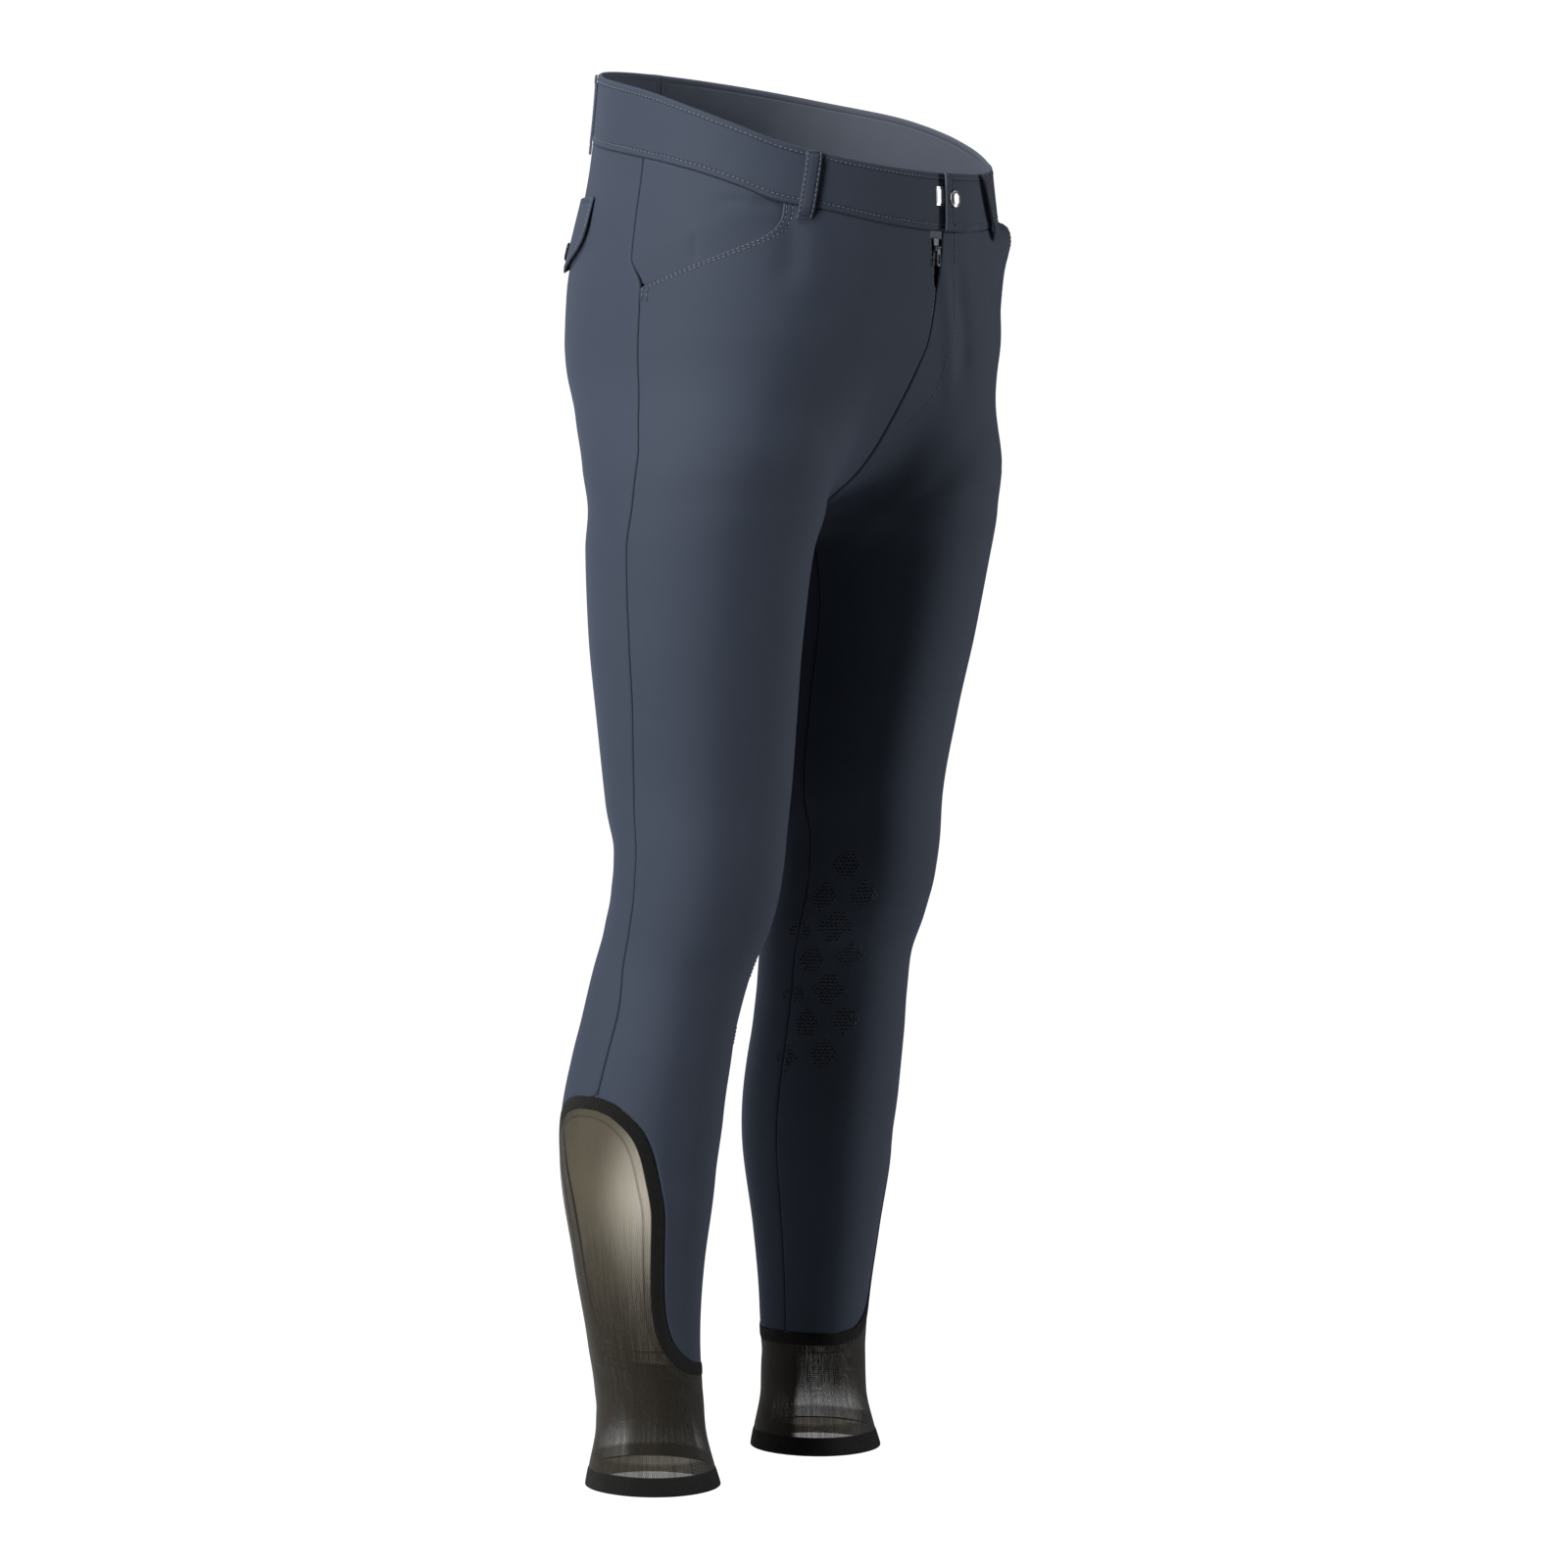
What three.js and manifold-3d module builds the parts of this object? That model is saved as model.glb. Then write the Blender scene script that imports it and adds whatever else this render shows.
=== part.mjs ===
// Riding breeches, filled out as worn. Millimetres, +Z up. The wearer faces -Y, so the wearer's right is -X.
// The origin is the centre of the waist, half way up the waistband at its sides.
import * as THREE from 'three';
import Module from 'manifold-3d';

const wasm = await Module();
wasm.setup();
const { Manifold, Mesh: SolidMesh } = wasm;

// Cloth thicknesses and the gap that parts two sewn edges.
const CLOTH = 1.6;
const BAND = 2.6;
const MESH = 1.1;
const BINDING = 1.7;
const SEAM = 0.18;

// One oval round the torso: z, half width, depth to the front, depth to the back.
const CORE = [
  [70, 146, 124, 125],
  [20, 150, 126, 127],
  [-22, 154, 128, 131],
  [-70, 160, 129, 138],
  [-110, 163, 127, 143],
  [-145, 158, 121, 141],
  [-170, 147, 108, 132],
  [-195, 128, 90, 115],
  [-220, 100, 68, 92],
  [-240, 70, 45, 68],
  [-258, 40, 18, 42],
  [-270, 14, 4, 22],
];

// One oval round each leg: z, centre's distance from the middle, centre's y, half width, half depth.
const LEG = [
  [70, 60, 0, 54, 70],
  [-22, 64, 2, 60, 84],
  [-110, 74, 8, 72, 106],
  [-160, 84, 9, 78, 107],
  [-200, 92, 4, 82, 101],
  [-235, 98, -2, 83, 94],
  [-265, 103, -3, 79, 86],
  [-295, 107, 1, 74, 83],
  [-355, 104, 7, 70, 78],
  [-415, 97, 12, 67, 72],
  [-475, 92, 15, 63, 66],
  [-505, 93, 13, 60, 61.5],
  [-535, 93, 16, 58, 60.5],
  [-565, 93, 24, 56, 60],
  [-595, 96, 35, 53, 58],
  [-625, 100, 42, 52, 57.5],
  [-655, 103, 48, 53, 58.5],
  [-700, 105, 56, 54, 59.5],
  [-745, 105, 60, 51.5, 57],
  [-805, 104, 60, 43.5, 48.5],
  [-865, 100, 59, 37, 42],
  [-900, 97, 57, 35.5, 40.5],
  [-925, 96, 56, 36, 41],
  [-955, 96, 55, 43, 46],
  [-969, 96, 54, 47, 49],
];
const POWER_CORE = 2.15;
const POWER_LEG = 2.1;
const BLEND_LEGS = 70;
const BLEND_CORE = 46;

// The waistband's top edge and lower seam: y, z of the top, z of the seam.
const BAND_EDGES = [
  [140, 56, 8],
  [116, 50, 1],
  [69, 38, -11],
  [14, 25, -22],
  [-28, 11, -32],
  [-60, -2, -43],
  [-86, -14, -55],
  [-108, -22, -61],
  [-135, -32, -74],
];

// The side seam's direction from the leg's centre: z, degrees (0 inwards, 90 to the front, 180 outwards).
const SIDE_SEAM = [
  [0, 187],
  [-91, 185],
  [-113, 178],
  [-219, 178.5],
  [-290, 184.5],
  [-390, 182.5],
  [-459, 185.5],
  [-529, 190],
  [-571, 188],
  [-626, 178],
  [-690, 181],
];

// The right pocket's mouth, from the waistband to the side seam: step, degrees, z.
const MOUTH = [
  [6, 177.5, -113],
  [5, 157, -101.5],
  [4, 139, -90],
  [3, 128, -80.5],
  [2, 123.5, -72.5],
  [1, 122, -64.5],
  [0, 122, -57],
];

// The edge of the mesh tongue, down from its top: step, degrees from its centre line, z.
const TONGUE_CENTRE = 189;
const TONGUE = [
  [13, 126, -879],
  [12, 104, -876],
  [11, 86, -867],
  [10, 75.5, -853],
  [9, 71, -832],
  [8, 70, -800],
  [7, 69, -768],
  [6, 64.5, -743],
  [5, 58.5, -722],
  [4, 50.5, -706.5],
  [3, 38, -694],
  [2, 23, -685.5],
  [1, 8, -682.3],
  [0, 0, -682],
];
const TONGUE_STEPS = 13;
const CUFF_TOP = -879;
const HEM_TOP = -955.5;
const HEM = -968.5;

// A monotone cubic through the rows of a table whose first column falls or rises steadily.
function curve(table, at) {
  const rows = table[0][0] < table[table.length - 1][0] ? table : [...table].reverse();
  const last = rows.length - 1;
  const x = Math.min(Math.max(at, rows[0][0]), rows[last][0]);
  let i = 0;
  while (i < last - 1 && x > rows[i + 1][0]) i += 1;
  const slope = (k, c) => (rows[k + 1][c] - rows[k][c]) / (rows[k + 1][0] - rows[k][0]);
  const tangent = (k, c) => {
    if (k === 0) return slope(0, c);
    if (k === last) return slope(last - 1, c);
    const before = slope(k - 1, c);
    const after = slope(k, c);
    if (before * after <= 0) return 0;
    const left = rows[k][0] - rows[k - 1][0];
    const right = rows[k + 1][0] - rows[k][0];
    const w1 = 2 * right + left;
    const w2 = right + 2 * left;
    return (w1 + w2) / (w1 / before + w2 / after);
  };
  const step = rows[i + 1][0] - rows[i][0];
  const u = (x - rows[i][0]) / step;
  return rows[0].slice(1).map((_, k) => {
    const c = k + 1;
    return (1 + 2 * u) * (1 - u) ** 2 * rows[i][c] + u * (1 - u) ** 2 * step * tangent(i, c)
      + u * u * (3 - 2 * u) * rows[i + 1][c] + u * u * (u - 1) * step * tangent(i + 1, c);
  });
}

const smooth = (u) => {
  const v = Math.min(Math.max(u, 0), 1);
  return v * v * (3 - 2 * v);
};
const mix = (a, b, u) => a + (b - a) * u;
const radians = (degrees) => degrees * Math.PI / 180;

function oval(dx, dy, a, b, power) {
  const q = ((Math.abs(dx) / a) ** power + (Math.abs(dy) / b) ** power) ** (1 / power);
  return Math.hypot(dx, dy) * (1 - 1 / Math.max(q, 1e-9));
}

function softMin(a, b, reach) {
  const h = Math.max(reach - Math.abs(a - b), 0) / reach;
  return Math.min(a, b) - h * h * reach / 4;
}

// Below zero inside the garment, zero on the cloth's outer face.
function field(x, y, z) {
  const [half, front, back] = curve(CORE, z);
  const [cx, cy, a, b] = curve(LEG, z);
  const legs = softMin(oval(x + cx, y - cy, a, b, POWER_LEG), oval(x - cx, y - cy, a, b, POWER_LEG), BLEND_LEGS);
  const share = smooth((z + 290) / 30);
  if (share === 0) return legs;
  const core = oval(x, y, half, y < 0 ? front : back, POWER_CORE);
  return mix(legs, softMin(legs, core, BLEND_CORE), share);
}

// The first crossing from inside along a line, by marching and halving.
function crossing(start, direction, reach) {
  const at = (r) => start.map((v, k) => v + direction[k] * r);
  let low = 2;
  let high = low;
  while (high < reach && field(...at(high)) <= 0) {
    low = high;
    high += 3;
  }
  for (let k = 0; k < 24; k += 1) {
    const middle = (low + high) / 2;
    if (field(...at(middle)) > 0) high = middle;
    else low = middle;
  }
  return at((low + high) / 2);
}

// The right half's surface at height z, in a direction from the leg's centre.
function cast(degrees, z) {
  const [cx, cy] = curve(LEG, z);
  const a = radians(degrees);
  return crossing([-cx, cy, z], [Math.cos(a), -Math.sin(a), 0], 270);
}

function directionOf(p) {
  const [cx, cy] = curve(LEG, p[2]);
  return Math.atan2(-(p[1] - cy), p[0] + cx) * 180 / Math.PI;
}

// The surface at a given x and z, in front (-1) or behind (+1).
const across = (x, z, sign) => crossing([x, 8, z], [0, sign, 0], 260);

function normal(p) {
  const e = 0.4;
  const g = [0, 1, 2].map((k) => {
    const up = [...p];
    const down = [...p];
    up[k] += e;
    down[k] -= e;
    return field(...up) - field(...down);
  });
  const length = Math.hypot(...g);
  return g.map((v) => v / length);
}

const lifted = (p, height) => {
  const n = normal(p);
  return p.map((v, k) => v + n[k] * height);
};

function nudged(p, towards, distance) {
  const d = towards.map((v, k) => v - p[k]);
  const length = Math.hypot(...d);
  return p.map((v, k) => v + d[k] / length * distance);
}

// Pulls a sheet's edges in by half a seam gap, along the cloth.
function trimmed(points, edges, gap = SEAM) {
  const out = points.map((row) => row.map((p) => [...p]));
  const rows = points.length;
  const columns = points[0].length;
  for (let j = 0; j < columns; j += 1) {
    if (edges.includes('top')) out[0][j] = nudged(out[0][j], points[1][j], gap);
    if (edges.includes('bottom')) out[rows - 1][j] = nudged(out[rows - 1][j], points[rows - 2][j], gap);
  }
  for (let i = 0; i < rows; i += 1) {
    if (edges.includes('first')) out[i][0] = nudged(out[i][0], out[i][1], gap);
    if (edges.includes('last')) out[i][columns - 1] = nudged(out[i][columns - 1], out[i][columns - 2], gap);
  }
  return out;
}

function volume(positions, index) {
  let total = 0;
  for (let k = 0; k < index.length; k += 3) {
    const [a, b, c] = [0, 1, 2].map((m) => positions[index[k + m]]);
    total += a[0] * (b[1] * c[2] - b[2] * c[1]) + a[1] * (b[2] * c[0] - b[0] * c[2])
      + a[2] * (b[0] * c[1] - b[1] * c[0]);
  }
  return total / 6;
}

function solid(name, positions, index, colour, mirror = false) {
  const placed = mirror ? positions.map(([x, y, z]) => [-x, y, z]) : positions;
  const faces = [...index];
  if (volume(placed, faces) < 0) {
    for (let k = 0; k < faces.length; k += 3) {
      [faces[k + 1], faces[k + 2]] = [faces[k + 2], faces[k + 1]];
    }
  }
  const geometry = new THREE.BufferGeometry();
  geometry.setAttribute('position', new THREE.Float32BufferAttribute(placed.flat(), 3));
  geometry.setIndex(faces);
  geometry.computeVertexNormals();
  const look = COLOURS[colour];
  const mesh = new THREE.Mesh(geometry, new THREE.MeshStandardMaterial(look));
  mesh.name = name;
  return mesh;
}

// A closed cloth wall from a grid of surface points. height and thick are numbers or functions of row and column.
function wall(name, points, options) {
  const { thick, height = 0, colour = 'cloth', ring = false, mirror = false } = options;
  const rows = points.length;
  const columns = points[0].length;
  const value = (v, i, j) => (typeof v === 'function' ? v(i, j) : v);
  const outer = points.map((row, i) => row.map((p, j) => lifted(p, value(height, i, j))));
  const inner = points.map((row, i) => row.map((p, j) => lifted(p, value(height, i, j) - value(thick, i, j))));
  const positions = [...outer.flat(), ...inner.flat()];
  const count = rows * columns;
  const at = (i, j) => i * columns + (ring ? j % columns : j);
  const index = [];
  const quad = (a, b, c, d) => index.push(a, b, c, a, c, d);
  const wide = ring ? columns : columns - 1;
  for (let i = 0; i < rows - 1; i += 1) {
    for (let j = 0; j < wide; j += 1) {
      quad(at(i, j), at(i + 1, j), at(i + 1, j + 1), at(i, j + 1));
      quad(count + at(i, j), count + at(i, j + 1), count + at(i + 1, j + 1), count + at(i + 1, j));
    }
  }
  for (let j = 0; j < wide; j += 1) {
    quad(at(0, j), at(0, j + 1), count + at(0, j + 1), count + at(0, j));
    quad(at(rows - 1, j + 1), at(rows - 1, j), count + at(rows - 1, j), count + at(rows - 1, j + 1));
  }
  if (!ring) {
    for (let i = 0; i < rows - 1; i += 1) {
      quad(at(i + 1, 0), at(i, 0), count + at(i, 0), count + at(i + 1, 0));
      quad(at(i, columns - 1), at(i + 1, columns - 1), count + at(i + 1, columns - 1), count + at(i, columns - 1));
    }
  }
  return solid(name, positions, index, colour, mirror);
}

const COLOURS = {
  cloth: { color: 0x3a4152, roughness: 0.8, metalness: 0 },
  mesh: { color: 0x26241f, roughness: 0.85, metalness: 0 },
  black: { color: 0x141416, roughness: 0.8, metalness: 0 },
  zip: { color: 0x191c24, roughness: 0.8, metalness: 0 },
  metal: { color: 0xb9bcc0, roughness: 0.3, metalness: 1 },
  snap: { color: 0x1c1f26, roughness: 0.4, metalness: 0 },
};

const bandTop = (y) => curve(BAND_EDGES, y)[0];
const bandSeam = (y) => curve(BAND_EDGES, y)[1];

// The surface point in a direction where the height is a function of y.
function castOn(degrees, heightOf) {
  let p = cast(degrees, heightOf(0));
  for (let k = 0; k < 5; k += 1) p = cast(degrees, heightOf(p[1]));
  return p;
}

// Rows of a leg panel. rise: a height on the mid plane down to RISE_TURN, then degrees round to the crotch.
const RISE_TURN = -110;
const RISE_FOCUS = 8;
const CROTCH_ROW = 11;
const FRONT_RISE = [null, -84, -96, -110, 11, 20, 30, 42, 55, 67, 79, 89.93];
const BACK_RISE = [null, -14, -34, -54, -74, -92, -110, 18, 36, 54, 72, 89.93];
const SIDE_HEIGHTS = [null, -41, -56, -70, -84, -98, -113, -133, -157, -182, -206, -228];
// Below the crotch: z at the inseam, z at the side seam.
const LEG_ROWS = [
  [-280, -246],
  [-286, -262],
  [-296, -280],
  [-312, -302],
  [-335, -330],
  [-362, -361],
  [-395, -395],
  [-430, -430],
  [-465, -465],
  [-498, -498],
  [-530, -530],
  [-560, -560],
  [-590, -590],
  [-620, -620],
  [-652, -652],
];
// Beside the tongue: step along its edge, z at the inseam. The side seam lands one step in front of its top.
const TONGUE_ROWS = [
  [-1, -667],
  [1, -680],
  [2, -690],
  [3, -701],
  [4, -713],
  [5, -727],
  [6, -745],
  [7, -768],
  [8, -800],
  [9, -830],
  [10, -850],
  [11, -863],
  [12, -873],
  [13, CUFF_TOP],
];

function risePoint(value, gap, sign) {
  if (value < 0) return across(-gap, value, sign);
  const a = radians(value);
  return crossing([-gap, RISE_FOCUS, RISE_TURN], [0, sign * Math.cos(a), -Math.sin(a)], 260);
}

// The zip's opening: the distance of each front's edge from the middle, at a height.
const flyGap = (z, top) => 0.2 + (top - 0.2) * Math.min(Math.max((z + 118) / 45, 0), 1);

function inseamDirection(z, crotchDirection) {
  return mix(2, crotchDirection, smooth((z + 340) / 63));
}

function tongueEdge(step, behind) {
  const [spread, z] = curve(TONGUE, Math.abs(step));
  const turn = step < 0 ? -spread : spread;
  return { direction: TONGUE_CENTRE + (behind ? turn : -turn), z };
}

// A leg panel's surface points, from its inner edge to its side edge. gapTop widens a front's edge at the zip.
const PANEL_COLUMNS = 11;
function panelPoints(back, gapTop) {
  const sign = back ? 1 : -1;
  const turn = back ? 360 : 0;
  const rise = back ? BACK_RISE : FRONT_RISE;
  const whole = (p) => {
    const d = directionOf(p);
    return back && d < 90 ? d + 360 : d;
  };
  const ends = [];
  rise.forEach((value, i) => {
    const z = value === null ? bandSeam(sign * 128) : value;
    const gap = back || value > 0 ? 0.2 : flyGap(z, gapTop);
    const first = value === null ? across(-gap, z, sign) : risePoint(value, gap, sign);
    let side;
    if (!back && i <= 6) {
      const [direction, height] = curve(MOUTH, i);
      side = { direction, z: height };
    } else {
      const height = SIDE_HEIGHTS[i] ?? bandSeam(14);
      side = { direction: curve(SIDE_SEAM, height)[0], z: height };
    }
    ends.push({ from: { direction: whole(first), z: first[2], point: first }, to: side });
  });
  const crotch = ends[CROTCH_ROW].from.direction;
  LEG_ROWS.forEach(([zIn, zOut]) => {
    const side = { direction: curve(SIDE_SEAM, zOut)[0], z: zOut };
    ends.push({ from: { direction: inseamDirection(zIn, crotch - turn) + turn, z: zIn }, to: side });
  });
  TONGUE_ROWS.forEach(([step, zIn]) => {
    if (step < 0 && !back) return;
    const side = tongueEdge(step, back);
    ends.push({ from: { direction: inseamDirection(zIn, crotch - turn) + turn, z: zIn }, to: side });
  });
  return ends.map((end, i) => {
    const row = [];
    for (let j = 0; j <= PANEL_COLUMNS; j += 1) {
      const t = j / PANEL_COLUMNS;
      const direction = mix(end.from.direction, end.to.direction, t);
      const fade = Math.max(1 - i / 6, 0) ** 2;
      const plain = mix(end.from.z, end.to.z, smooth(t));
      if (fade === 0) {
        row.push(j === 0 && end.from.point ? end.from.point : cast(direction, plain));
      } else {
        const straight = mix(ends[0].from.z, ends[0].to.z, smooth(t));
        const top = castOn(direction, bandSeam)[2];
        row.push(cast(direction, plain + (top - straight) * fade));
      }
    }
    return row;
  });
}

// A pocket mouth stands off the facing under it. gape is how far, at the middle of the mouth.
function mouthHeight(gape) {
  return (i, j) => {
    if (i > 6) return 0;
    const along = Math.sin(Math.PI * i / 6.6);
    const inwards = smooth((j / PANEL_COLUMNS - 0.5) / 0.5);
    return gape * along * inwards;
  };
}

function panel(name, back, mirror, gapTop = 0.2, gape = 0) {
  const points = trimmed(panelPoints(back, gapTop), ['top', 'bottom', 'last']);
  // Below the crotch the two inner edges meet at the inseam, so they are parted too.
  for (let i = CROTCH_ROW + 1; i < points.length; i += 1) {
    points[i][0] = nudged(points[i][0], points[i][1], SEAM);
  }
  return wall(name, points, { thick: CLOTH, height: mouthHeight(gape), mirror });
}

// How far a point of the flattened side lies outside the pocket's mouth. Negative under the front panel.
const FLAT_RADIUS = 1.9;
function beyondMouth(direction, z) {
  let best = Infinity;
  let sign = 1;
  for (let step = 0; step < 6; step += 0.25) {
    const [d0, z0] = curve(MOUTH, step);
    const [d1, z1] = curve(MOUTH, step + 0.25);
    const along = [(d1 - d0) * FLAT_RADIUS, z1 - z0];
    const to = [(direction - d0) * FLAT_RADIUS, z - z0];
    const length = Math.hypot(...along);
    const t = Math.min(Math.max((along[0] * to[0] + along[1] * to[1]) / length ** 2, 0), 1);
    const distance = Math.hypot(to[0] - along[0] * t, to[1] - along[1] * t);
    if (distance < best) {
      best = distance;
      sign = along[0] * to[1] - along[1] * to[0] > 0 ? 1 : -1;
    }
  }
  return best * sign;
}

// The facing seen in a pocket's mouth: sewn in at the waist and side, sunk where it runs under the front.
const FACING_COLUMNS = 8;
const FACING_SUNK = -3.4;
function facing(name, mirror) {
  const points = [];
  const heights = [];
  for (let i = 0; i <= 6; i += 1) {
    const [mouthDirection, mouthZ] = curve(MOUTH, i);
    const sideZ = i === 0 ? bandSeam(14) : SIDE_HEIGHTS[i] + (i === 6 ? 3 : 0);
    const side = { direction: curve(SIDE_SEAM, sideZ)[0], z: sideZ };
    const under = i === 6 ? 3 : 5;
    const row = [];
    const level = [];
    for (let j = 0; j <= FACING_COLUMNS; j += 1) {
      const t = j / FACING_COLUMNS;
      const direction = mix(mouthDirection - under, side.direction, t);
      const drop = i < 2 ? 0 : 5 * (1 - t);
      const plain = mix(mouthZ - drop, side.z, smooth(t));
      const p = i === 0 ? castOn(direction, bandSeam) : cast(direction, plain);
      row.push(p);
      level.push(FACING_SUNK * (1 - smooth((beyondMouth(direction, p[2]) - 14) / 12)));
    }
    points.push(row);
    heights.push(level);
  }
  const edges = trimmed(points, ['top', 'last']);
  return wall(name, edges, { thick: CLOTH - 0.2, height: (i, j) => heights[i][j], mirror });
}

// The waistband in two halves that meet behind. The left end stands off and laps over the right one in front.
const BAND_LIFT = 0.4;
const LAP_LIFT = 4.6;
const LAP_EDGE = 4.5;
const UNDERLAP = 24;
const BAND_ROWS = [0.004, 0.5, 0.991];
function waistband(name, mirror) {
  const starts = across(mirror ? -LAP_EDGE : UNDERLAP, -50, -1);
  const from = directionOf(starts);
  const to = directionOf(across(-SEAM, 30, 1)) + 360;
  const columns = 26;
  const grid = BAND_ROWS.map(() => []);
  for (let j = 0; j <= columns; j += 1) {
    const direction = mix(from, to, j / columns);
    BAND_ROWS.forEach((u, i) => {
      const height = (y) => mix(bandTop(y), bandSeam(y), u);
      let p = castOn(direction, height);
      if (j === 0) {
        const x = starts[0];
        p = across(x, height(-128), -1);
      }
      if (j === columns) {
        p = across(-SEAM, height(131), 1);
      }
      grid[i].push(p);
    });
  }
  const lift = (i, j) => {
    if (!mirror) return BAND_LIFT;
    const [x, y] = [-grid[i][j][0], grid[i][j][1]];
    if (y > 0) return BAND_LIFT;
    return mix(LAP_LIFT, BAND_LIFT, smooth((x - 26) / 40));
  };
  return wall(name, grid, { thick: BAND, height: lift, mirror });
}

// A belt loop: sewn down at both ends, standing off between them.
const LOOP_WIDTH = 11;
const LOOP_THICK = 1.4;
const LOOP_BELOW = 9;
function loop(name, place, mirror = false, extra = 0) {
  const rows = 8;
  const points = [];
  for (let i = 0; i <= rows; i += 1) {
    const u = i / rows;
    const row = [];
    for (let j = 0; j <= 2; j += 1) row.push(place(u, (j - 1) * LOOP_WIDTH / 2));
    points.push(row);
  }
  const stand = (i) => {
    const u = i / rows;
    return BAND_LIFT + extra + 0.35 + LOOP_THICK + 2.2 * smooth(Math.min(u, 1 - u) / 0.16);
  };
  return wall(name, points, { thick: LOOP_THICK, height: stand, mirror });
}

function sideLoop(topDirection, bottomDirection) {
  return (u, offset) => {
    const direction = mix(topDirection, bottomDirection, u);
    const heightOf = (y) => mix(bandTop(y) - 1, bandSeam(y) - LOOP_BELOW, u);
    const middle = castOn(direction, heightOf);
    const [cx, cy] = curve(LEG, middle[2]);
    const radius = Math.hypot(middle[0] + cx, middle[1] - cy);
    return cast(direction + offset / radius * 180 / Math.PI, middle[2]);
  };
}

const backLoop = (u, offset) => across(offset, mix(bandTop(131) - 1, bandSeam(131) - LOOP_BELOW, u), 1);

// A back pocket's flap, with a pointed lower edge: degrees either side of its middle, z of the lower edge.
const FLAP_CENTRE = 249.5;
const FLAP_EDGE = [
  [31, -67],
  [28.5, -77],
  [24, -84],
  [16, -90.5],
  [7, -95.5],
  [0, -98],
];
const FLAP_TOP = -45;
const FLAP_THICK = 1.6;
const flapHeight = (u) => mix(2.4, 4.2, u);
function flap(name, mirror) {
  const points = [];
  const rows = 5;
  for (let i = 0; i <= rows; i += 1) {
    const row = [];
    for (let j = -6; j <= 6; j += 1) {
      const spread = [0, 7, 14, 20, 25, 29, 31][Math.abs(j)] * Math.sign(j);
      const bottom = curve(FLAP_EDGE, Math.abs(spread))[0];
      row.push(cast(FLAP_CENTRE + spread, mix(FLAP_TOP + spread * 0.05, bottom, i / rows)));
    }
    points.push(row);
  }
  return wall(name, points, { thick: FLAP_THICK, height: (i) => flapHeight(i / rows), mirror });
}

// A low domed disc that sits on a lifted point of the surface.
function disc(name, at, lift, radius, tall, colour, mirror = false) {
  const profile = [
    [0, 0],
    [radius * 0.94, 0],
    [radius, tall * 0.3],
    [radius * 0.93, tall * 0.75],
    [radius * 0.62, tall],
    [0, tall],
  ].map(([r, h]) => new THREE.Vector2(r, h));
  const around = 20;
  const positions = [[0, profile[0].y, 0]];
  for (const { x: r, y: h } of profile.slice(1, -1)) {
    for (let k = 0; k < around; k += 1) {
      const a = k / around * 2 * Math.PI;
      positions.push([r * Math.cos(a), h, r * Math.sin(a)]);
    }
  }
  positions.push([0, tall, 0]);
  const top = positions.length - 1;
  const index = [];
  const bands = profile.length - 2;
  const id = (b, k) => 1 + b * around + (k % around);
  for (let k = 0; k < around; k += 1) {
    index.push(0, id(0, k), id(0, k + 1));
    for (let b = 0; b < bands - 1; b += 1) {
      index.push(id(b, k), id(b + 1, k), id(b + 1, k + 1), id(b, k), id(b + 1, k + 1), id(b, k + 1));
    }
    index.push(id(bands - 1, k), top, id(bands - 1, k + 1));
  }
  const n = normal(at);
  const turn = new THREE.Quaternion().setFromUnitVectors(new THREE.Vector3(0, 1, 0), new THREE.Vector3(...n));
  const placed = positions.map((p) => {
    const v = new THREE.Vector3(...p).applyQuaternion(turn);
    return [v.x + at[0] + n[0] * lift, v.y + at[1] + n[1] * lift, v.z + at[2] + n[2] * lift];
  });
  return solid(name, placed, index, colour, mirror);
}

// A closed ring along the tongue's edge and round the cuff's top, moved in from it. It starts in front of the
// tongue's top and runs down the front edge, round the inside of the leg and up the back edge.
const BINDING_WIDTH = 9.3;
const FLAT_STEPS = 4;
function edgeRing(inset) {
  const half = (behind) => {
    const list = [];
    for (let step = 1; step <= TONGUE_STEPS; step += 1) {
      const here = tongueEdge(step, behind);
      const before = tongueEdge(step - 0.3, behind);
      const after = tongueEdge(Math.min(step + 0.3, TONGUE_STEPS), behind);
      const [, , a, b] = curve(LEG, here.z);
      const radius = (a + b) / 2;
      const du = radians(after.direction - before.direction) * radius;
      const dz = after.z - before.z;
      const length = Math.hypot(du, dz);
      const side = behind ? 1 : -1;
      list.push({
        direction: here.direction + side * dz / length * inset / radius * 180 / Math.PI,
        z: here.z - side * du / length * inset,
      });
    }
    return list;
  };
  const front = half(false);
  const behind = half(true).map((e) => ({ direction: e.direction - 360, z: e.z })).reverse();
  const flat = [];
  for (let k = 1; k <= FLAT_STEPS; k += 1) {
    const t = k / (FLAT_STEPS + 1);
    flat.push({
      direction: mix(front[TONGUE_STEPS - 1].direction, behind[0].direction, t),
      z: mix(front[TONGUE_STEPS - 1].z, behind[0].z, t),
    });
  }
  return [...front, ...flat, ...behind];
}

function binding(name, mirror) {
  const rows = [SEAM, BINDING_WIDTH / 2, BINDING_WIDTH - SEAM].map((inset) => {
    return edgeRing(inset).map((e) => cast(e.direction, e.z));
  });
  return wall(name, rows, { thick: BINDING, height: 0.2, ring: true, colour: 'black', mirror });
}

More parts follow.
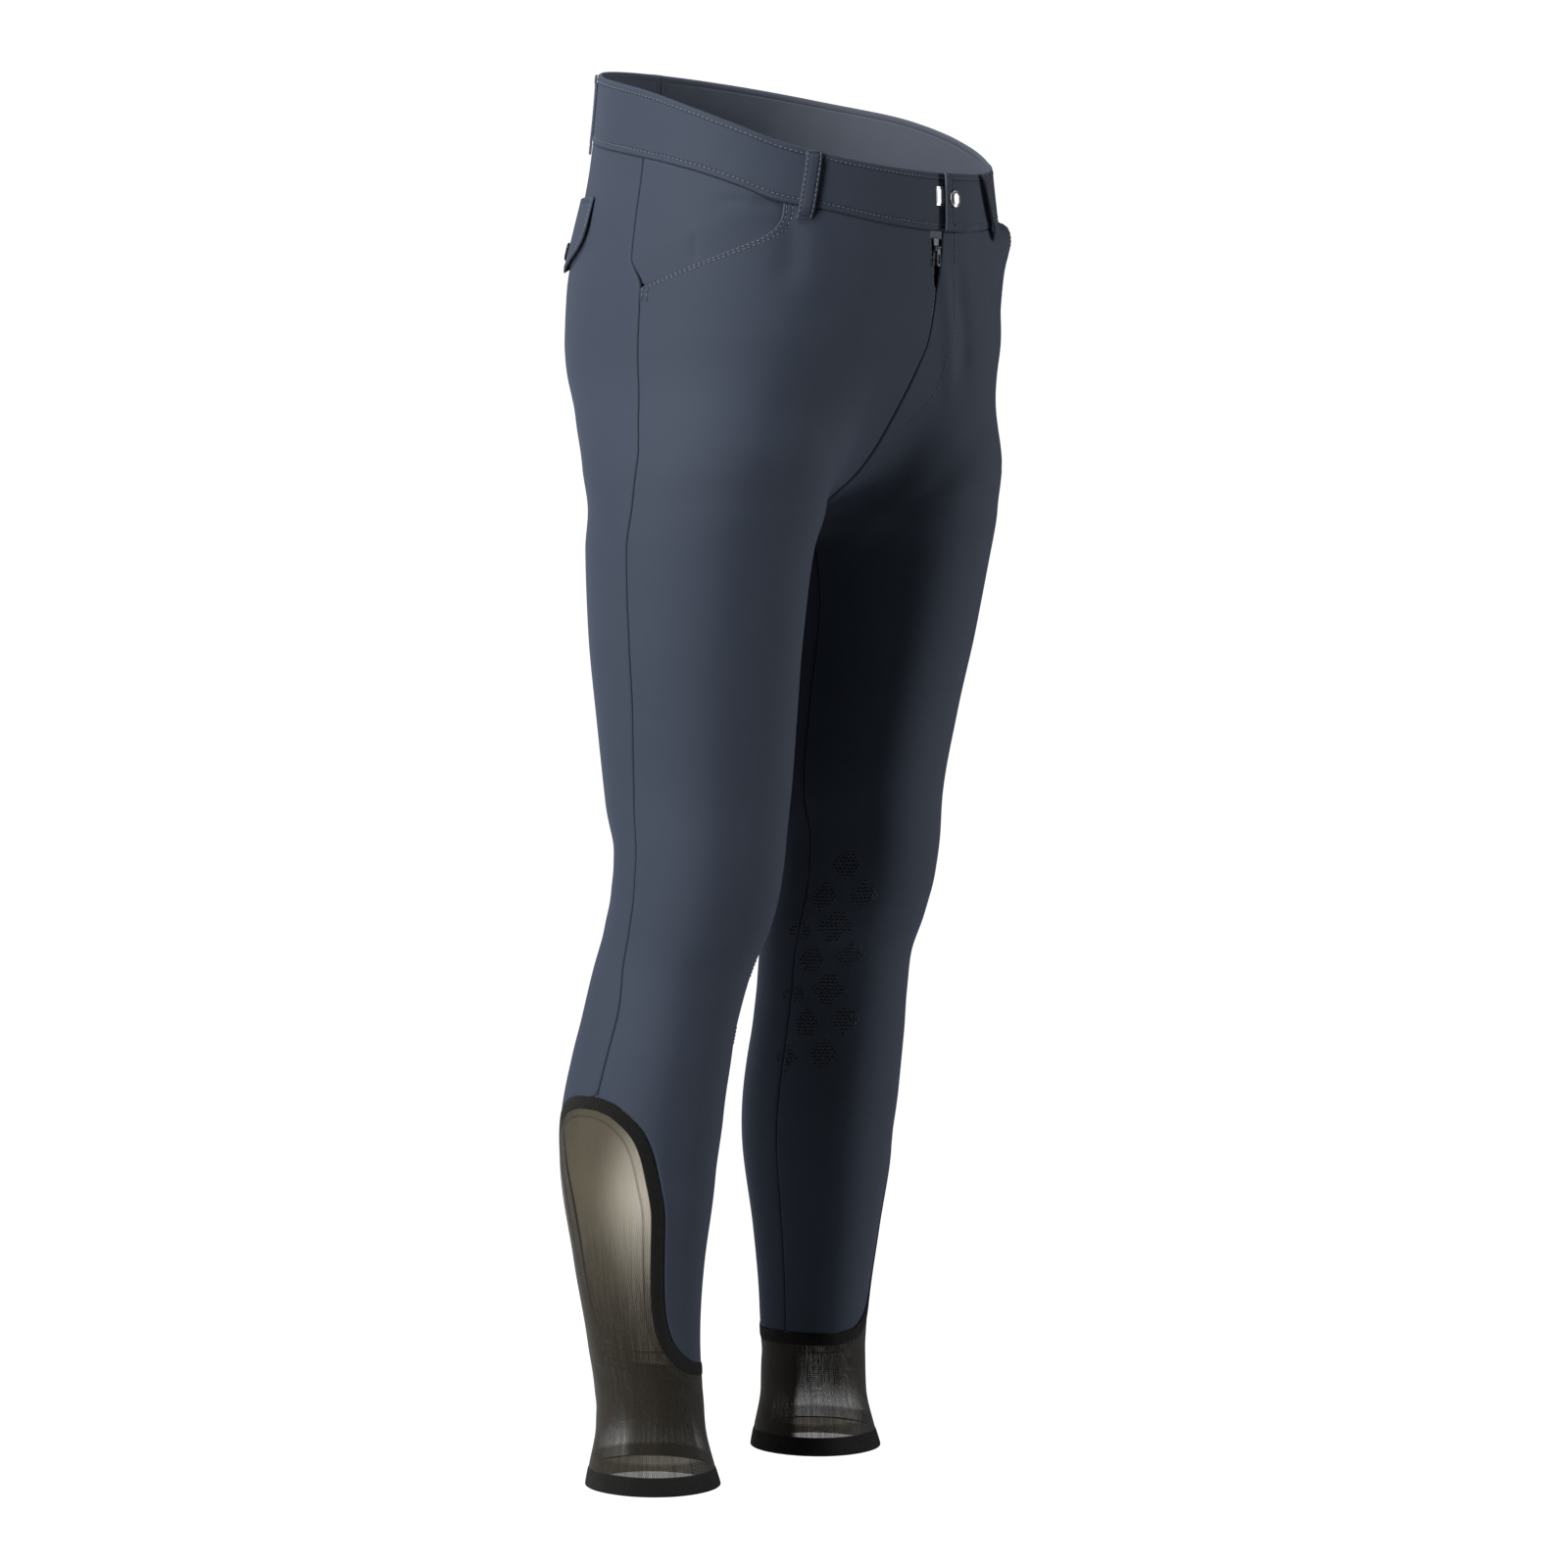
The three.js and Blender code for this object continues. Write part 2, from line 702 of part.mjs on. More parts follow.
// The mesh cuff: a ring above the hem with a tongue up the outside of the calf, as one closed wall.
const CUFF_ROWS = [-900, -919, -938, HEM_TOP + SEAM];
const CUFF_COLUMNS = 26;
const TONGUE_COLUMNS = 12;
function cuff(name, mirror) {
  const edge = edgeRing(BINDING_WIDTH + SEAM);
  const count = edge.length;
  const points = [];
  const add = (direction, z) => ({ id: points.push(cast(direction, z)) - 1, direction });
  const faces = [];
  const strip = (upper, lower) => {
    for (let k = 0; k < upper.length - 1; k += 1) {
      faces.push([upper[k].id, lower[k].id, lower[k + 1].id], [upper[k].id, lower[k + 1].id, upper[k + 1].id]);
    }
  };
  // Lines across the tongue, from its front edge to its back edge.
  const lines = [];
  for (let k = 0; k < TONGUE_STEPS; k += 1) {
    const front = edge[k];
    const behind = edge[count - 1 - k];
    const line = [];
    for (let m = 0; m <= TONGUE_COLUMNS; m += 1) {
      const t = m / TONGUE_COLUMNS;
      const rise = k < 5 ? (edge[0].z + 0.3 - front.z) * 4 * t * (1 - t) * (1 - k / 5) : 0;
      line.push(add(mix(front.direction, behind.direction + 360, t), mix(front.z, behind.z, t) + rise));
    }
    lines.push(line);
  }
  for (let k = 0; k < lines.length - 1; k += 1) strip(lines[k], lines[k + 1]);
  // The tongue's last line and the free edge inside the leg make a loop, joined to the even rings below it.
  const last = lines[TONGUE_STEPS - 1];
  const flat = edge.slice(TONGUE_STEPS, count - TONGUE_STEPS).reverse();
  const close = (loop) => [...loop, { id: loop[0].id, direction: loop[0].direction + 360 }];
  const upper = close([...last, ...flat.map((e) => add(e.direction + 360, e.z))]);
  const rings = CUFF_ROWS.map((z) => {
    const ring = [];
    for (let j = 0; j < CUFF_COLUMNS; j += 1) ring.push(add(last[0].direction + 360 * j / CUFF_COLUMNS, z));
    return close(ring);
  });
  let a = 0;
  let b = 0;
  const lower = rings[0];
  while (a < upper.length - 1 || b < lower.length - 1) {
    const goUpper = b === lower.length - 1
      || (a < upper.length - 1 && upper[a + 1].direction <= lower[b + 1].direction);
    if (goUpper) {
      faces.push([upper[a].id, lower[b].id, upper[a + 1].id]);
      a += 1;
    } else {
      faces.push([upper[a].id, lower[b].id, lower[b + 1].id]);
      b += 1;
    }
  }
  for (let i = 0; i < rings.length - 1; i += 1) strip(rings[i], rings[i + 1]);
  // Both faces, then a strip along each free edge.
  const n = points.length;
  const index = [];
  const sides = new Map();
  for (const [p, q, r] of faces) {
    index.push(p, q, r, n + p, n + r, n + q);
    for (const pair of [[p, q], [q, r], [r, p]]) sides.set(pair.join(), pair);
  }
  for (const [p, q] of sides.values()) {
    if (!sides.has([q, p].join())) index.push(q, p, n + p, q, n + p, n + q);
  }
  const positions = [...points.map((p) => lifted(p, 0)), ...points.map((p) => lifted(p, -MESH))];
  return solid(name, positions, index, 'mesh', mirror);
}

function hemBand(name, mirror) {
  const rows = [HEM_TOP - SEAM, -962, HEM].map((z) => {
    const row = [];
    for (let j = 0; j < 28; j += 1) row.push(cast(-j / 28 * 360, z));
    return row;
  });
  return wall(name, rows, { thick: BINDING, height: 0.2, ring: true, colour: 'black', mirror });
}

// The zip's two tapes as one strip behind the opening, its slider, and the pull tab that swings on it.
const ZIP_DEPTH = -2.6;
const ZIP_X = -2.5;
function zipTape() {
  const heights = [-76, -88, -102, -118, -136, -154, -172, -190];
  const points = heights.map((z) => [-9, -4.5, 0, 4.5, 9].map((x) => across(x + ZIP_X * 0.6, z, -1)));
  return wall('zip_tape', points, { thick: 1.1, height: ZIP_DEPTH, colour: 'zip' });
}

const SLIDER_Z = -80.4;
const SLIDER = { wide: 6.4, tall: 9.4, deep: 2.3, seat: 0.3 };
const PIVOT = { out: 4.3, z: -82.6, radius: 0.6, lug: 0.8, between: 3.9 };
const TAB = { wide: 3.4, thick: 1.1, long: 13.6 };
function solidFrom(shape, name, colour) {
  const raw = shape.getMesh();
  const positions = [];
  for (let k = 0; k < raw.vertProperties.length; k += raw.numProp) {
    positions.push([...raw.vertProperties.slice(k, k + 3)]);
  }
  return solid(name, positions, [...raw.triVerts], colour);
}

const face = across(ZIP_X, SLIDER_Z, -1)[1] - ZIP_DEPTH;
function sliderShape() {
  const { wide, tall, deep } = SLIDER;
  const body = Manifold.cube([wide, deep, tall], true).translate([ZIP_X, face - SLIDER.seat - deep / 2, SLIDER_Z]);
  const lugs = [-1, 1].map((side) => {
    const height = PIVOT.out + 0.8 - deep + 0.4;
    const x = ZIP_X + side * (PIVOT.between / 2 + PIVOT.lug / 2);
    return Manifold.cube([PIVOT.lug, height, 2.6], true)
      .translate([x, face - SLIDER.seat - deep + 0.4 - height / 2, PIVOT.z]);
  });
  return Manifold.union([body, ...lugs]);
}

function tabShape() {
  const { wide, thick, long } = TAB;
  const y = face - SLIDER.seat - PIVOT.out;
  const pin = Manifold.cylinder(PIVOT.between - 0.3, PIVOT.radius, PIVOT.radius, 16, true)
    .rotate([0, 90, 0]).translate([ZIP_X, y, PIVOT.z]);
  const head = Manifold.cylinder(wide, 1.1, 1.1, 20, true).rotate([0, 90, 0]).translate([ZIP_X, y, PIVOT.z]);
  const plate = Manifold.cube([wide, thick, long - 1.7], true).translate([ZIP_X, y, PIVOT.z - (long - 1.7) / 2]);
  const tip = Manifold.cylinder(thick, wide / 2, wide / 2, 20, true)
    .rotate([90, 0, 0]).translate([ZIP_X, y, PIVOT.z - long + 1.7]);
  return Manifold.union([pin, head, plate, tip]);
}

// The flat trouser hook, seen at the end of the lap: a thin plate on the right band that runs under the lap.
function hook() {
  const points = [-39.5, -46.5, -53.5].map((z) => [-3.6, 0, 3.6, 9].map((x) => across(x, z, -1)));
  return wall('waist_hook', points, { thick: 1.1, height: BAND_LIFT + 1.2, colour: 'metal' });
}

const capAt = across(13, -48, -1);
const snapAt = cast(FLAP_CENTRE, -83);
const flapLift = flapHeight((83 - 45) / (98 - 45)) + 0.35;

const garment = new THREE.Group();
garment.name = 'riding_breeches';
garment.add(
  panel('front_right', false, false, 8.6, 1.2),
  panel('front_left', false, true, 4.8, 8.5),
  panel('back_right', true, false),
  panel('back_left', true, true),
  facing('pocket_facing_right', false),
  facing('pocket_facing_left', true),
  waistband('waistband_right', false),
  waistband('waistband_left', true),
  flap('pocket_flap_right', false),
  flap('pocket_flap_left', true),
  disc('flap_snap_right', snapAt, flapLift, 6.6, 1.8, 'snap'),
  disc('flap_snap_left', snapAt, flapLift, 6.6, 1.8, 'snap', true),
  loop('belt_loop_front_right', sideLoop(112.3, 114.6)),
  loop('belt_loop_front_left', sideLoop(89.5, 97), true, 0.6),
  loop('belt_loop_back_right', sideLoop(243, 243)),
  loop('belt_loop_back_left', sideLoop(243, 243), true),
  loop('belt_loop_centre_back', backLoop),
  zipTape(),
  solidFrom(sliderShape(), 'zip_slider', 'metal'),
  solidFrom(tabShape(), 'zip_pull_tab', 'metal'),
  hook(),
  disc('snap_cap', capAt, LAP_LIFT + 0.1, 6.3, 2, 'metal'),
  cuff('mesh_cuff_right', false),
  cuff('mesh_cuff_left', true),
  binding('cuff_binding_right', false),
  binding('cuff_binding_left', true),
  hemBand('hem_band_right', false),
  hemBand('hem_band_left', true),
);

export default garment;
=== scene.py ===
"""Riding breeches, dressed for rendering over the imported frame.

Every cloth piece is worked out from the same garment form as the solids: one oval round the torso and one
round each leg, softly joined. A piece is a grid of points on that form, with its creases, rolled edges and
standing edges as heights along the form's normals. Lengths are millimetres until they go into a mesh.
"""

import math

import bpy
import numpy as np
from mathutils import Matrix, Vector
from mathutils.bvhtree import BVHTree


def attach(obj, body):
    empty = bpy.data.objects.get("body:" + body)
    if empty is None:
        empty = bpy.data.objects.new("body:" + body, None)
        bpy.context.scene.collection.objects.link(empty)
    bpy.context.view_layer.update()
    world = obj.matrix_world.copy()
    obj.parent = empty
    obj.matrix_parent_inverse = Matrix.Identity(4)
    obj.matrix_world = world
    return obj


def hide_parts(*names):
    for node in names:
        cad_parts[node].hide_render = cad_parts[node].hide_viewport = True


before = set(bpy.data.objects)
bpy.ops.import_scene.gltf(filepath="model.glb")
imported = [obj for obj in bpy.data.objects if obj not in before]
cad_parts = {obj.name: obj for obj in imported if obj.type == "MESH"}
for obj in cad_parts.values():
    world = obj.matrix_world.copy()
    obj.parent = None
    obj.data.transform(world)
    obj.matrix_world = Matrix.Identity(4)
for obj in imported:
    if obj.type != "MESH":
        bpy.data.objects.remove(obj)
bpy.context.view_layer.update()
MM = 0.001
GARMENT = "breeches"

# Camera: the photo's angle.
CAMERA_AZIMUTH = -52.0
CAMERA_ELEVATION = 3.1
CAMERA_DISTANCE = 3.5
CAMERA_LENS = 110.9
CAMERA_AIM = (-0.0044, 0.0056, -0.465)


def linked(name, data):
    """An object with its data, in the scene and at the origin."""
    obj = bpy.data.objects.new(name, data)
    bpy.context.scene.collection.objects.link(obj)
    return obj


def direction_to(azimuth, elevation):
    """Unit vector from the aim to a viewer: azimuth 0 stands at -Y, 90 at +X, elevation is above level."""
    a, e = math.radians(azimuth), math.radians(elevation)
    return np.array([math.sin(a) * math.cos(e), -math.cos(a) * math.cos(e), math.sin(e)])


def look_in(obj, azimuth, elevation, distance):
    """Puts an object at a distance from the aim, its -Z axis towards it and its +Y as up as it can be."""
    back = direction_to(azimuth, elevation)
    place = np.array(CAMERA_AIM) + back * distance
    right = np.array([-back[1], back[0], 0]) / math.hypot(back[0], back[1])
    matrix = np.eye(4)
    matrix[:3] = np.stack([right, np.cross(back, right), back, place], -1)
    obj.matrix_world = Matrix(matrix.tolist())


camera_data = bpy.data.cameras.new("photo_camera")
camera_data.lens = CAMERA_LENS
camera_data.sensor_width = 36
camera_data.clip_end = 30
camera = linked("photo_camera", camera_data)
look_in(camera, CAMERA_AZIMUTH, CAMERA_ELEVATION, CAMERA_DISTANCE)
bpy.context.scene.camera = camera

# The garment's form, in millimetres.
# z, half width, depth to the front, depth to the back
CORE = [
    (70, 146, 124, 125),
    (20, 150, 126, 127),
    (-22, 154, 128, 131),
    (-70, 160, 129, 138),
    (-110, 163, 127, 143),
    (-145, 158, 121, 141),
    (-170, 147, 108, 132),
    (-195, 128, 90, 115),
    (-220, 100, 68, 92),
    (-240, 70, 45, 68),
    (-258, 40, 18, 42),
    (-270, 14, 4, 22),
]
# z, centre's distance from the middle, centre's y, half width, half depth
LEG = [
    (70, 60, 0, 54, 70),
    (-22, 64, 2, 60, 84),
    (-110, 74, 8, 72, 106),
    (-160, 84, 9, 78, 107),
    (-200, 92, 4, 82, 101),
    (-235, 98, -2, 83, 94),
    (-265, 103, -3, 79, 86),
    (-295, 107, 1, 74, 83),
    (-355, 104, 7, 70, 78),
    (-415, 97, 12, 67, 72),
    (-475, 92, 15, 63, 66),
    (-505, 93, 13, 60, 61.5),
    (-535, 93, 16, 58, 60.5),
    (-565, 93, 24, 56, 60),
    (-595, 96, 35, 53, 58),
    (-625, 100, 42, 52, 57.5),
    (-655, 103, 48, 53, 58.5),
    (-700, 105, 56, 54, 59.5),
    (-745, 105, 60, 51.5, 57),
    (-805, 104, 60, 43.5, 48.5),
    (-865, 100, 59, 37, 42),
    (-900, 97, 57, 35.5, 40.5),
    (-925, 96, 56, 36, 41),
    (-955, 96, 55, 43, 46),
    (-969, 96, 54, 47, 49),
]
POWER_CORE = 2.15
POWER_LEG = 2.1
BLEND_LEGS = 70
BLEND_CORE = 46
# y of the upright line that the rises and everything on the middle are cast from
MIDDLE_Y = 8
# y, z of the waistband's top edge, z of its lower seam
BAND_EDGES = [
    (140, 56, 8),
    (116, 50, 1),
    (69, 38, -11),
    (14, 25, -22),
    (-28, 11, -32),
    (-60, -2, -43),
    (-86, -14, -55),
    (-108, -22, -61),
    (-135, -32, -74),
]
# z, direction of the side seam in degrees: 0 inwards, 90 to the front, 180 outwards
SIDE_SEAM = [
    (0, 187),
    (-91, 185),
    (-113, 178),
    (-219, 178.5),
    (-290, 184.5),
    (-390, 182.5),
    (-459, 185.5),
    (-529, 190),
    (-571, 188),
    (-626, 178),
    (-690, 181),
]
# step along the front pocket's mouth, direction, z
MOUTH = [
    (6, 177.5, -113),
    (5, 157, -101.5),
    (4, 139, -90),
    (3, 128, -80.5),
    (2, 123.5, -72.5),
    (1, 122, -64.5),
    (0, 122, -57),
]
# step down the mesh tongue's edge, degrees from its centre line, z
TONGUE_CENTRE = 189
TONGUE_STEPS = 13
TONGUE = [
    (13, 126, -879),
    (12, 104, -876),
    (11, 86, -867),
    (10, 75.5, -853),
    (9, 71, -832),
    (8, 70, -800),
    (7, 69, -768),
    (6, 64.5, -743),
    (5, 58.5, -722),
    (4, 50.5, -706.5),
    (3, 38, -694),
    (2, 23, -685.5),
    (1, 8, -682.3),
    (0, 0, -682),
]
CUFF_TOP = -879
HEM_TOP = -955.5
HEM = -968.5


def curve(table, at):
    """Monotone cubic through a table's rows, by its first column: one array for each other column."""
    t = np.array(table, float)
    if t[0, 0] > t[-1, 0]:
        t = t[::-1]
    x, y = t[:, 0], t[:, 1:]
    h = np.diff(x)[:, None]
    d = np.diff(y, axis=0) / h
    m = np.zeros_like(y)
    m[0], m[-1] = d[0], d[-1]
    w1, w2 = 2 * h[1:] + h[:-1], h[1:] + 2 * h[:-1]
    with np.errstate(divide="ignore", invalid="ignore"):
        m[1:-1] = np.where(d[:-1] * d[1:] > 0, (w1 + w2) / (w1 / d[:-1] + w2 / d[1:]), 0)
    at = np.clip(np.asarray(at, float), x[0], x[-1])
    i = np.clip(np.searchsorted(x, at) - 1, 0, len(x) - 2)
    step = (x[i + 1] - x[i])[..., None]
    u = (at - x[i])[..., None] / step
    out = ((1 + 2 * u) * (1 - u) ** 2 * y[i] + u * (1 - u) ** 2 * step * m[i]
           + u * u * (3 - 2 * u) * y[i + 1] + u * u * (u - 1) * step * m[i + 1])
    return [out[..., k] for k in range(out.shape[-1])]


def smooth(u):
    """0 to 1 with level ends: 3u^2 - 2u^3."""
    v = np.clip(u, 0, 1)
    return v * v * (3 - 2 * v)


def mix(a, b, u):
    """Straight blend from a to b."""
    return a + (b - a) * u


def oval(dx, dy, a, b, power):
    """Signed distance, nearly, to a superellipse with half sides a and b."""
    q = ((np.abs(dx) / a) ** power + (np.abs(dy) / b) ** power) ** (1 / power)
    return np.hypot(dx, dy) * (1 - 1 / np.maximum(q, 1e-9))


def soft_min(a, b, reach):
    """The smaller of a and b, rounded off by a quarter of reach where they are equal."""
    h = np.maximum(reach - np.abs(a - b), 0) / reach
    return np.minimum(a, b) - h * h * reach / 4


def field(x, y, z):
    """Below 0 inside the garment: both legs softly joined, then softly joined to the torso above the crotch."""
    half, front, back = curve(CORE, z)
    cx, cy, a, b = curve(LEG, z)
    right, left = (oval(x + side * cx, y - cy, a, b, POWER_LEG) for side in (1, -1))
    legs = soft_min(right, left, BLEND_LEGS)
    depth = mix(front, back, smooth((y + 13) / 18))
    core = oval(x, y, half, depth, POWER_CORE)
    return mix(legs, soft_min(legs, core, BLEND_CORE), smooth((z + 290) / 30))


MARCH = 4.0
REACH = 260.0


def crossing(start, heading):
    """First crossing of the form from inside along each line: marching 4 mm at a time, then halving."""
    start, heading = np.broadcast_arrays(np.asarray(start, float), np.asarray(heading, float))
    shape = start.shape[:-1]
    start, heading = start.reshape(-1, 3), heading.reshape(-1, 3)
    low = np.full(len(start), MARCH)
    high = np.full(len(start), REACH)
    todo = np.arange(len(start))
    for r in np.arange(2 * MARCH, REACH, MARCH):
        p = start[todo] + heading[todo] * r
        out = field(*p.T) > 0
        low[todo[out]], high[todo[out]] = r - MARCH, r
        todo = todo[~out]
        if not len(todo):
            break
    for _ in range(16):
        middle = (low + high) / 2
        p = start + heading * middle[:, None]
        out = field(*p.T) > 0
        low, high = np.where(out, low, middle), np.where(out, middle, high)
    return (start + heading * ((low + high) / 2)[:, None]).reshape(*shape, 3)


def cast(direction, z):
    """The right half's surface at height z, in a direction in degrees from the leg's centre."""
    direction, z = np.broadcast_arrays(np.asarray(direction, float), np.asarray(z, float))
    cx, cy, _, _ = curve(LEG, z)
    a = np.radians(direction)
    return crossing(np.stack([-cx, cy, z], -1), np.stack([np.cos(a), -np.sin(a), 0 * a], -1))


def across(x, z, sign):
    """The surface at a given x and z, in front (-1) or behind (+1)."""
    x, z = np.broadcast_arrays(np.asarray(x, float), np.asarray(z, float))
    return crossing(np.stack([x, 0 * x + MIDDLE_Y, z], -1), np.array([0.0, sign, 0.0]))


def cast_on(direction, height_of):
    """The surface in a direction where the height is a function of y, found by repeating."""
    p = cast(direction, height_of(0 * np.asarray(direction, float)))
    for _ in range(4):
        p = cast(direction, height_of(p[..., 1]))
    return p


def direction_of(p):
    """The direction in degrees of a point from its leg's centre."""
    cx, cy, _, _ = curve(LEG, p[..., 2])
    return np.degrees(np.arctan2(-(p[..., 1] - cy), p[..., 0] + cx))


def unit(v):
    """Vectors at length 1."""
    return v / np.linalg.norm(v, axis=-1, keepdims=True)


def normals(p):
    """Unit gradient of the form, by differences of 0.4 mm."""
    ahead, behind = ([field(*np.moveaxis(p + d * side, -1, 0)) for d in np.eye(3) * 0.4] for side in (1, -1))
    return unit(np.stack(ahead, -1) - np.stack(behind, -1))


def band_top(y):
    """Height of the waistband's top edge."""
    return curve(BAND_EDGES, y)[0]


def band_seam(y):
    """Height of the waistband's lower seam."""
    return curve(BAND_EDGES, y)[1]


# Creases: troughs are below 0, ridges above.
# direction and z of one end, the same of the other end, half width and height in mm
CREASES_RIGHT = [
    (146, -52, 128, -58, 4.5, -0.9),
    (146, -49, 130, -51, 4.0, 0.5),
    (155, -80, 153, -93, 2.5, -0.7),
    (119, -60, 117, -108, 9.0, -1.5),
    (108, -70, 106, -120, 12.0, 0.8),
    (90, -215, 60, -262, 14.0, -1.4),
    (75, -225, 30, -286, 11.0, -1.6),
    (56, -244, 12, -296, 8.0, 1.2),
    (150, -250, 95, -268, 20.0, -0.7),
    (255, -196, 300, -232, 15.0, -1.8),
    (262, -214, 318, -258, 12.0, -2.0),
    (280, -236, 340, -286, 9.0, 1.4),
    (250, -262, 310, -276, 16.0, -1.2),
    (228, -508, 300, -520, 10.0, -1.6),
    (232, -526, 305, -541, 9.0, -1.9),
    (236, -548, 300, -560, 9.0, -1.5),
    (240, -570, 292, -577, 10.0, -1.1),
    (120, -548, 70, -562, 14.0, -0.8),
    (126, -588, 66, -600, 16.0, -0.9),
    (60, -640, 18, -652, 15.0, -0.7),
    (110, -742, 60, -752, 16.0, -0.6),
    (240, -640, 300, -652, 14.0, -0.8),
]
CREASES_LEFT = [
    (128, -114, 130, -178, 21.0, -3.6),
    (63, -92, 69, -182, 6.0, 1.8),
    (71, -100, 77, -172, 7.0, -1.6),
    (80, -86, 96, -120, 12.0, -1.2),
    (104, -92, 112, -132, 11.0, -1.1),
    (92, -212, 58, -264, 14.0, -1.6),
    (75, -228, 30, -288, 11.0, -1.4),
    (58, -246, 12, -300, 8.0, 1.0),
    (250, -192, 302, -236, 15.0, -1.6),
    (266, -218, 322, -262, 12.0, -2.1),
    (284, -240, 342, -290, 9.0, 1.3),
    (232, -512, 296, -522, 10.0, -1.5),
    (228, -530, 302, -545, 9.0, -2.0),
    (240, -553, 296, -563, 9.0, -1.4),
    (118, -552, 64, -568, 14.0, -0.9),
    (128, -592, 70, -604, 16.0, -0.8),
    (58, -600, 10, -622, 16.0, -0.9),
    (56, -660, 16, -672, 15.0, -0.6),
    (242, -646, 304, -656, 14.0, -0.8),
]
# soft creases of the sheer cuff at the ankle, in the same columns
MESH_CREASES = [
    (150, -893, 210, -886, 6.0, -0.5),
    (196, -906, 250, -914, 7.0, -0.6),
    (60, -900, 118, -893, 6.0, -0.6),
    (290, -896, 350, -905, 7.0, -0.6),
    (10, -915, 60, -922, 8.0, -0.5),
]


def creases(p, table):
    """Sum of soft troughs and ridges: a bell across each line, faded over its last third at both ends."""
    cx, cy, a, b = curve(LEG, p[..., 2])
    radius = np.hypot(p[..., 0] + cx, p[..., 1] - cy)
    turn = direction_of(p) % 360
    total = np.zeros(p.shape[:-1])
    for d0, z0, d1, z1, half, height in table:
        away = (turn - d0 + 180) % 360 - 180
        u, v = np.radians(away) * radius, p[..., 2] - z0
        du, dv = np.radians(d1 - d0) * radius, z1 - z0
        length = np.hypot(du, dv)
        along = (u * du + v * dv) / length ** 2
        bend = 0.12 * length * (along - 0.5) ** 2
        off = (u * dv - v * du) / length + bend
        ends = smooth((along + 0.25) / 0.5) * smooth((1.25 - along) / 0.5)
        total += height * np.exp(-(off / half) ** 2) * ends
    return total


# Meshes.
def arcs(points, axis):
    """Distance along a grid's lines from their first point."""
    step = np.linalg.norm(np.diff(points, axis=axis), axis=-1)
    return np.concatenate([np.zeros_like(np.take(step, [0], axis)), np.cumsum(step, axis)], axis)


def quads(index):
    """Corner indices of a grid's cells."""
    return np.stack([index[:-1, :-1], index[1:, :-1], index[1:, 1:], index[:-1, 1:]], -1).reshape(-1, 4)


def closed(index):
    """A grid's indices with the first column again at the end."""
    return np.hstack([index, index[:, :1]])


def outward(points, faces):
    """Faces in the order that makes the enclosed volume positive."""
    corners = points[faces].swapaxes(0, 1)
    volume = sum((corners[0] * np.cross(b, c)).sum() for b, c in zip(corners[1:-1], corners[2:]))
    return faces if volume > 0 else faces[:, ::-1]


def smooth_mesh(name, points, faces, material):
    """A mesh with smooth faces and one material, its points in metres."""
    mesh = bpy.data.meshes.new(name)
    mesh.from_pydata(points.tolist(), [], faces.tolist())
    mesh.polygons.foreach_set("use_smooth", np.ones(len(mesh.polygons), bool))
    mesh.materials.append(material)
    return mesh


def piece(name, points, faces, material, body=GARMENT, replaces=(), uv=None, marks=None, mirror=False,
          slot=None):
    """A mesh object at the origin. Points and uv are in mm, marks are named values for each point."""
    if mirror:
        points, faces = points * [-1, 1, 1], faces[:, ::-1]
    mesh = smooth_mesh(name, points * MM, faces, material)
    if uv is not None:
        corners = np.empty(len(mesh.loops), np.int32)
        mesh.loops.foreach_get("vertex_index", corners)
        layer = mesh.uv_layers.new(name="cloth")
        layer.data.foreach_set("uv", (uv.reshape(-1, 2)[corners] * MM).ravel())
    for mark, values in (marks or {}).items():
        layer = mesh.attributes.new(mark, "FLOAT", "POINT")
        layer.data.foreach_set("value", np.asarray(values, np.float32).ravel())
    mesh.update()
    obj = linked(name, mesh)
    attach(obj, body)
    if replaces:
        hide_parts(*replaces)
    return obj


def rim_round(away, thick):
    """How far a face drops at a rounded rim: a quarter circle of half the thickness, away from the edge."""
    r = thick * 0.48
    return r * (1 - np.sqrt(1 - (1 - np.clip(away / r, 0, 1)) ** 2))


def wall(name, outer, inner, uv, marks, material, ring, held, **options):
    """A closed wall between two grids, a strip of quads round each rim. held is None where it isn't cloth.

    Gives the outer grid before any mirroring.
    """
    index = np.arange(uv.size // 2).reshape(uv.shape[:2])
    wrap, far = closed(index) if ring else index, index.size
    rims = [wrap[0][::-1], wrap[-1]] + ([] if ring else [index[:, 0], index[::-1, -1]])
    faces = [quads(wrap), quads(wrap + far)[:, ::-1]]
    faces += [np.stack([rim[:-1], rim[:-1] + far, rim[1:] + far, rim[1:]], -1) for rim in rims]
    points = np.vstack([outer.reshape(-1, 3), inner.reshape(-1, 3)])
    layers = {k: np.tile(np.broadcast_to(m, index.shape).ravel(), 2) for k, m in marks.items()}
    layers["inside"] = np.repeat([0.0, 1.0], far)
    obj = piece(name, points, outward(points, np.vstack(faces)), material,
                uv=np.tile(uv.reshape(-1, 2), (2, 1)), marks=layers, **options)
    if held:
        cut_as_sheet(outer, ring)
    return outer


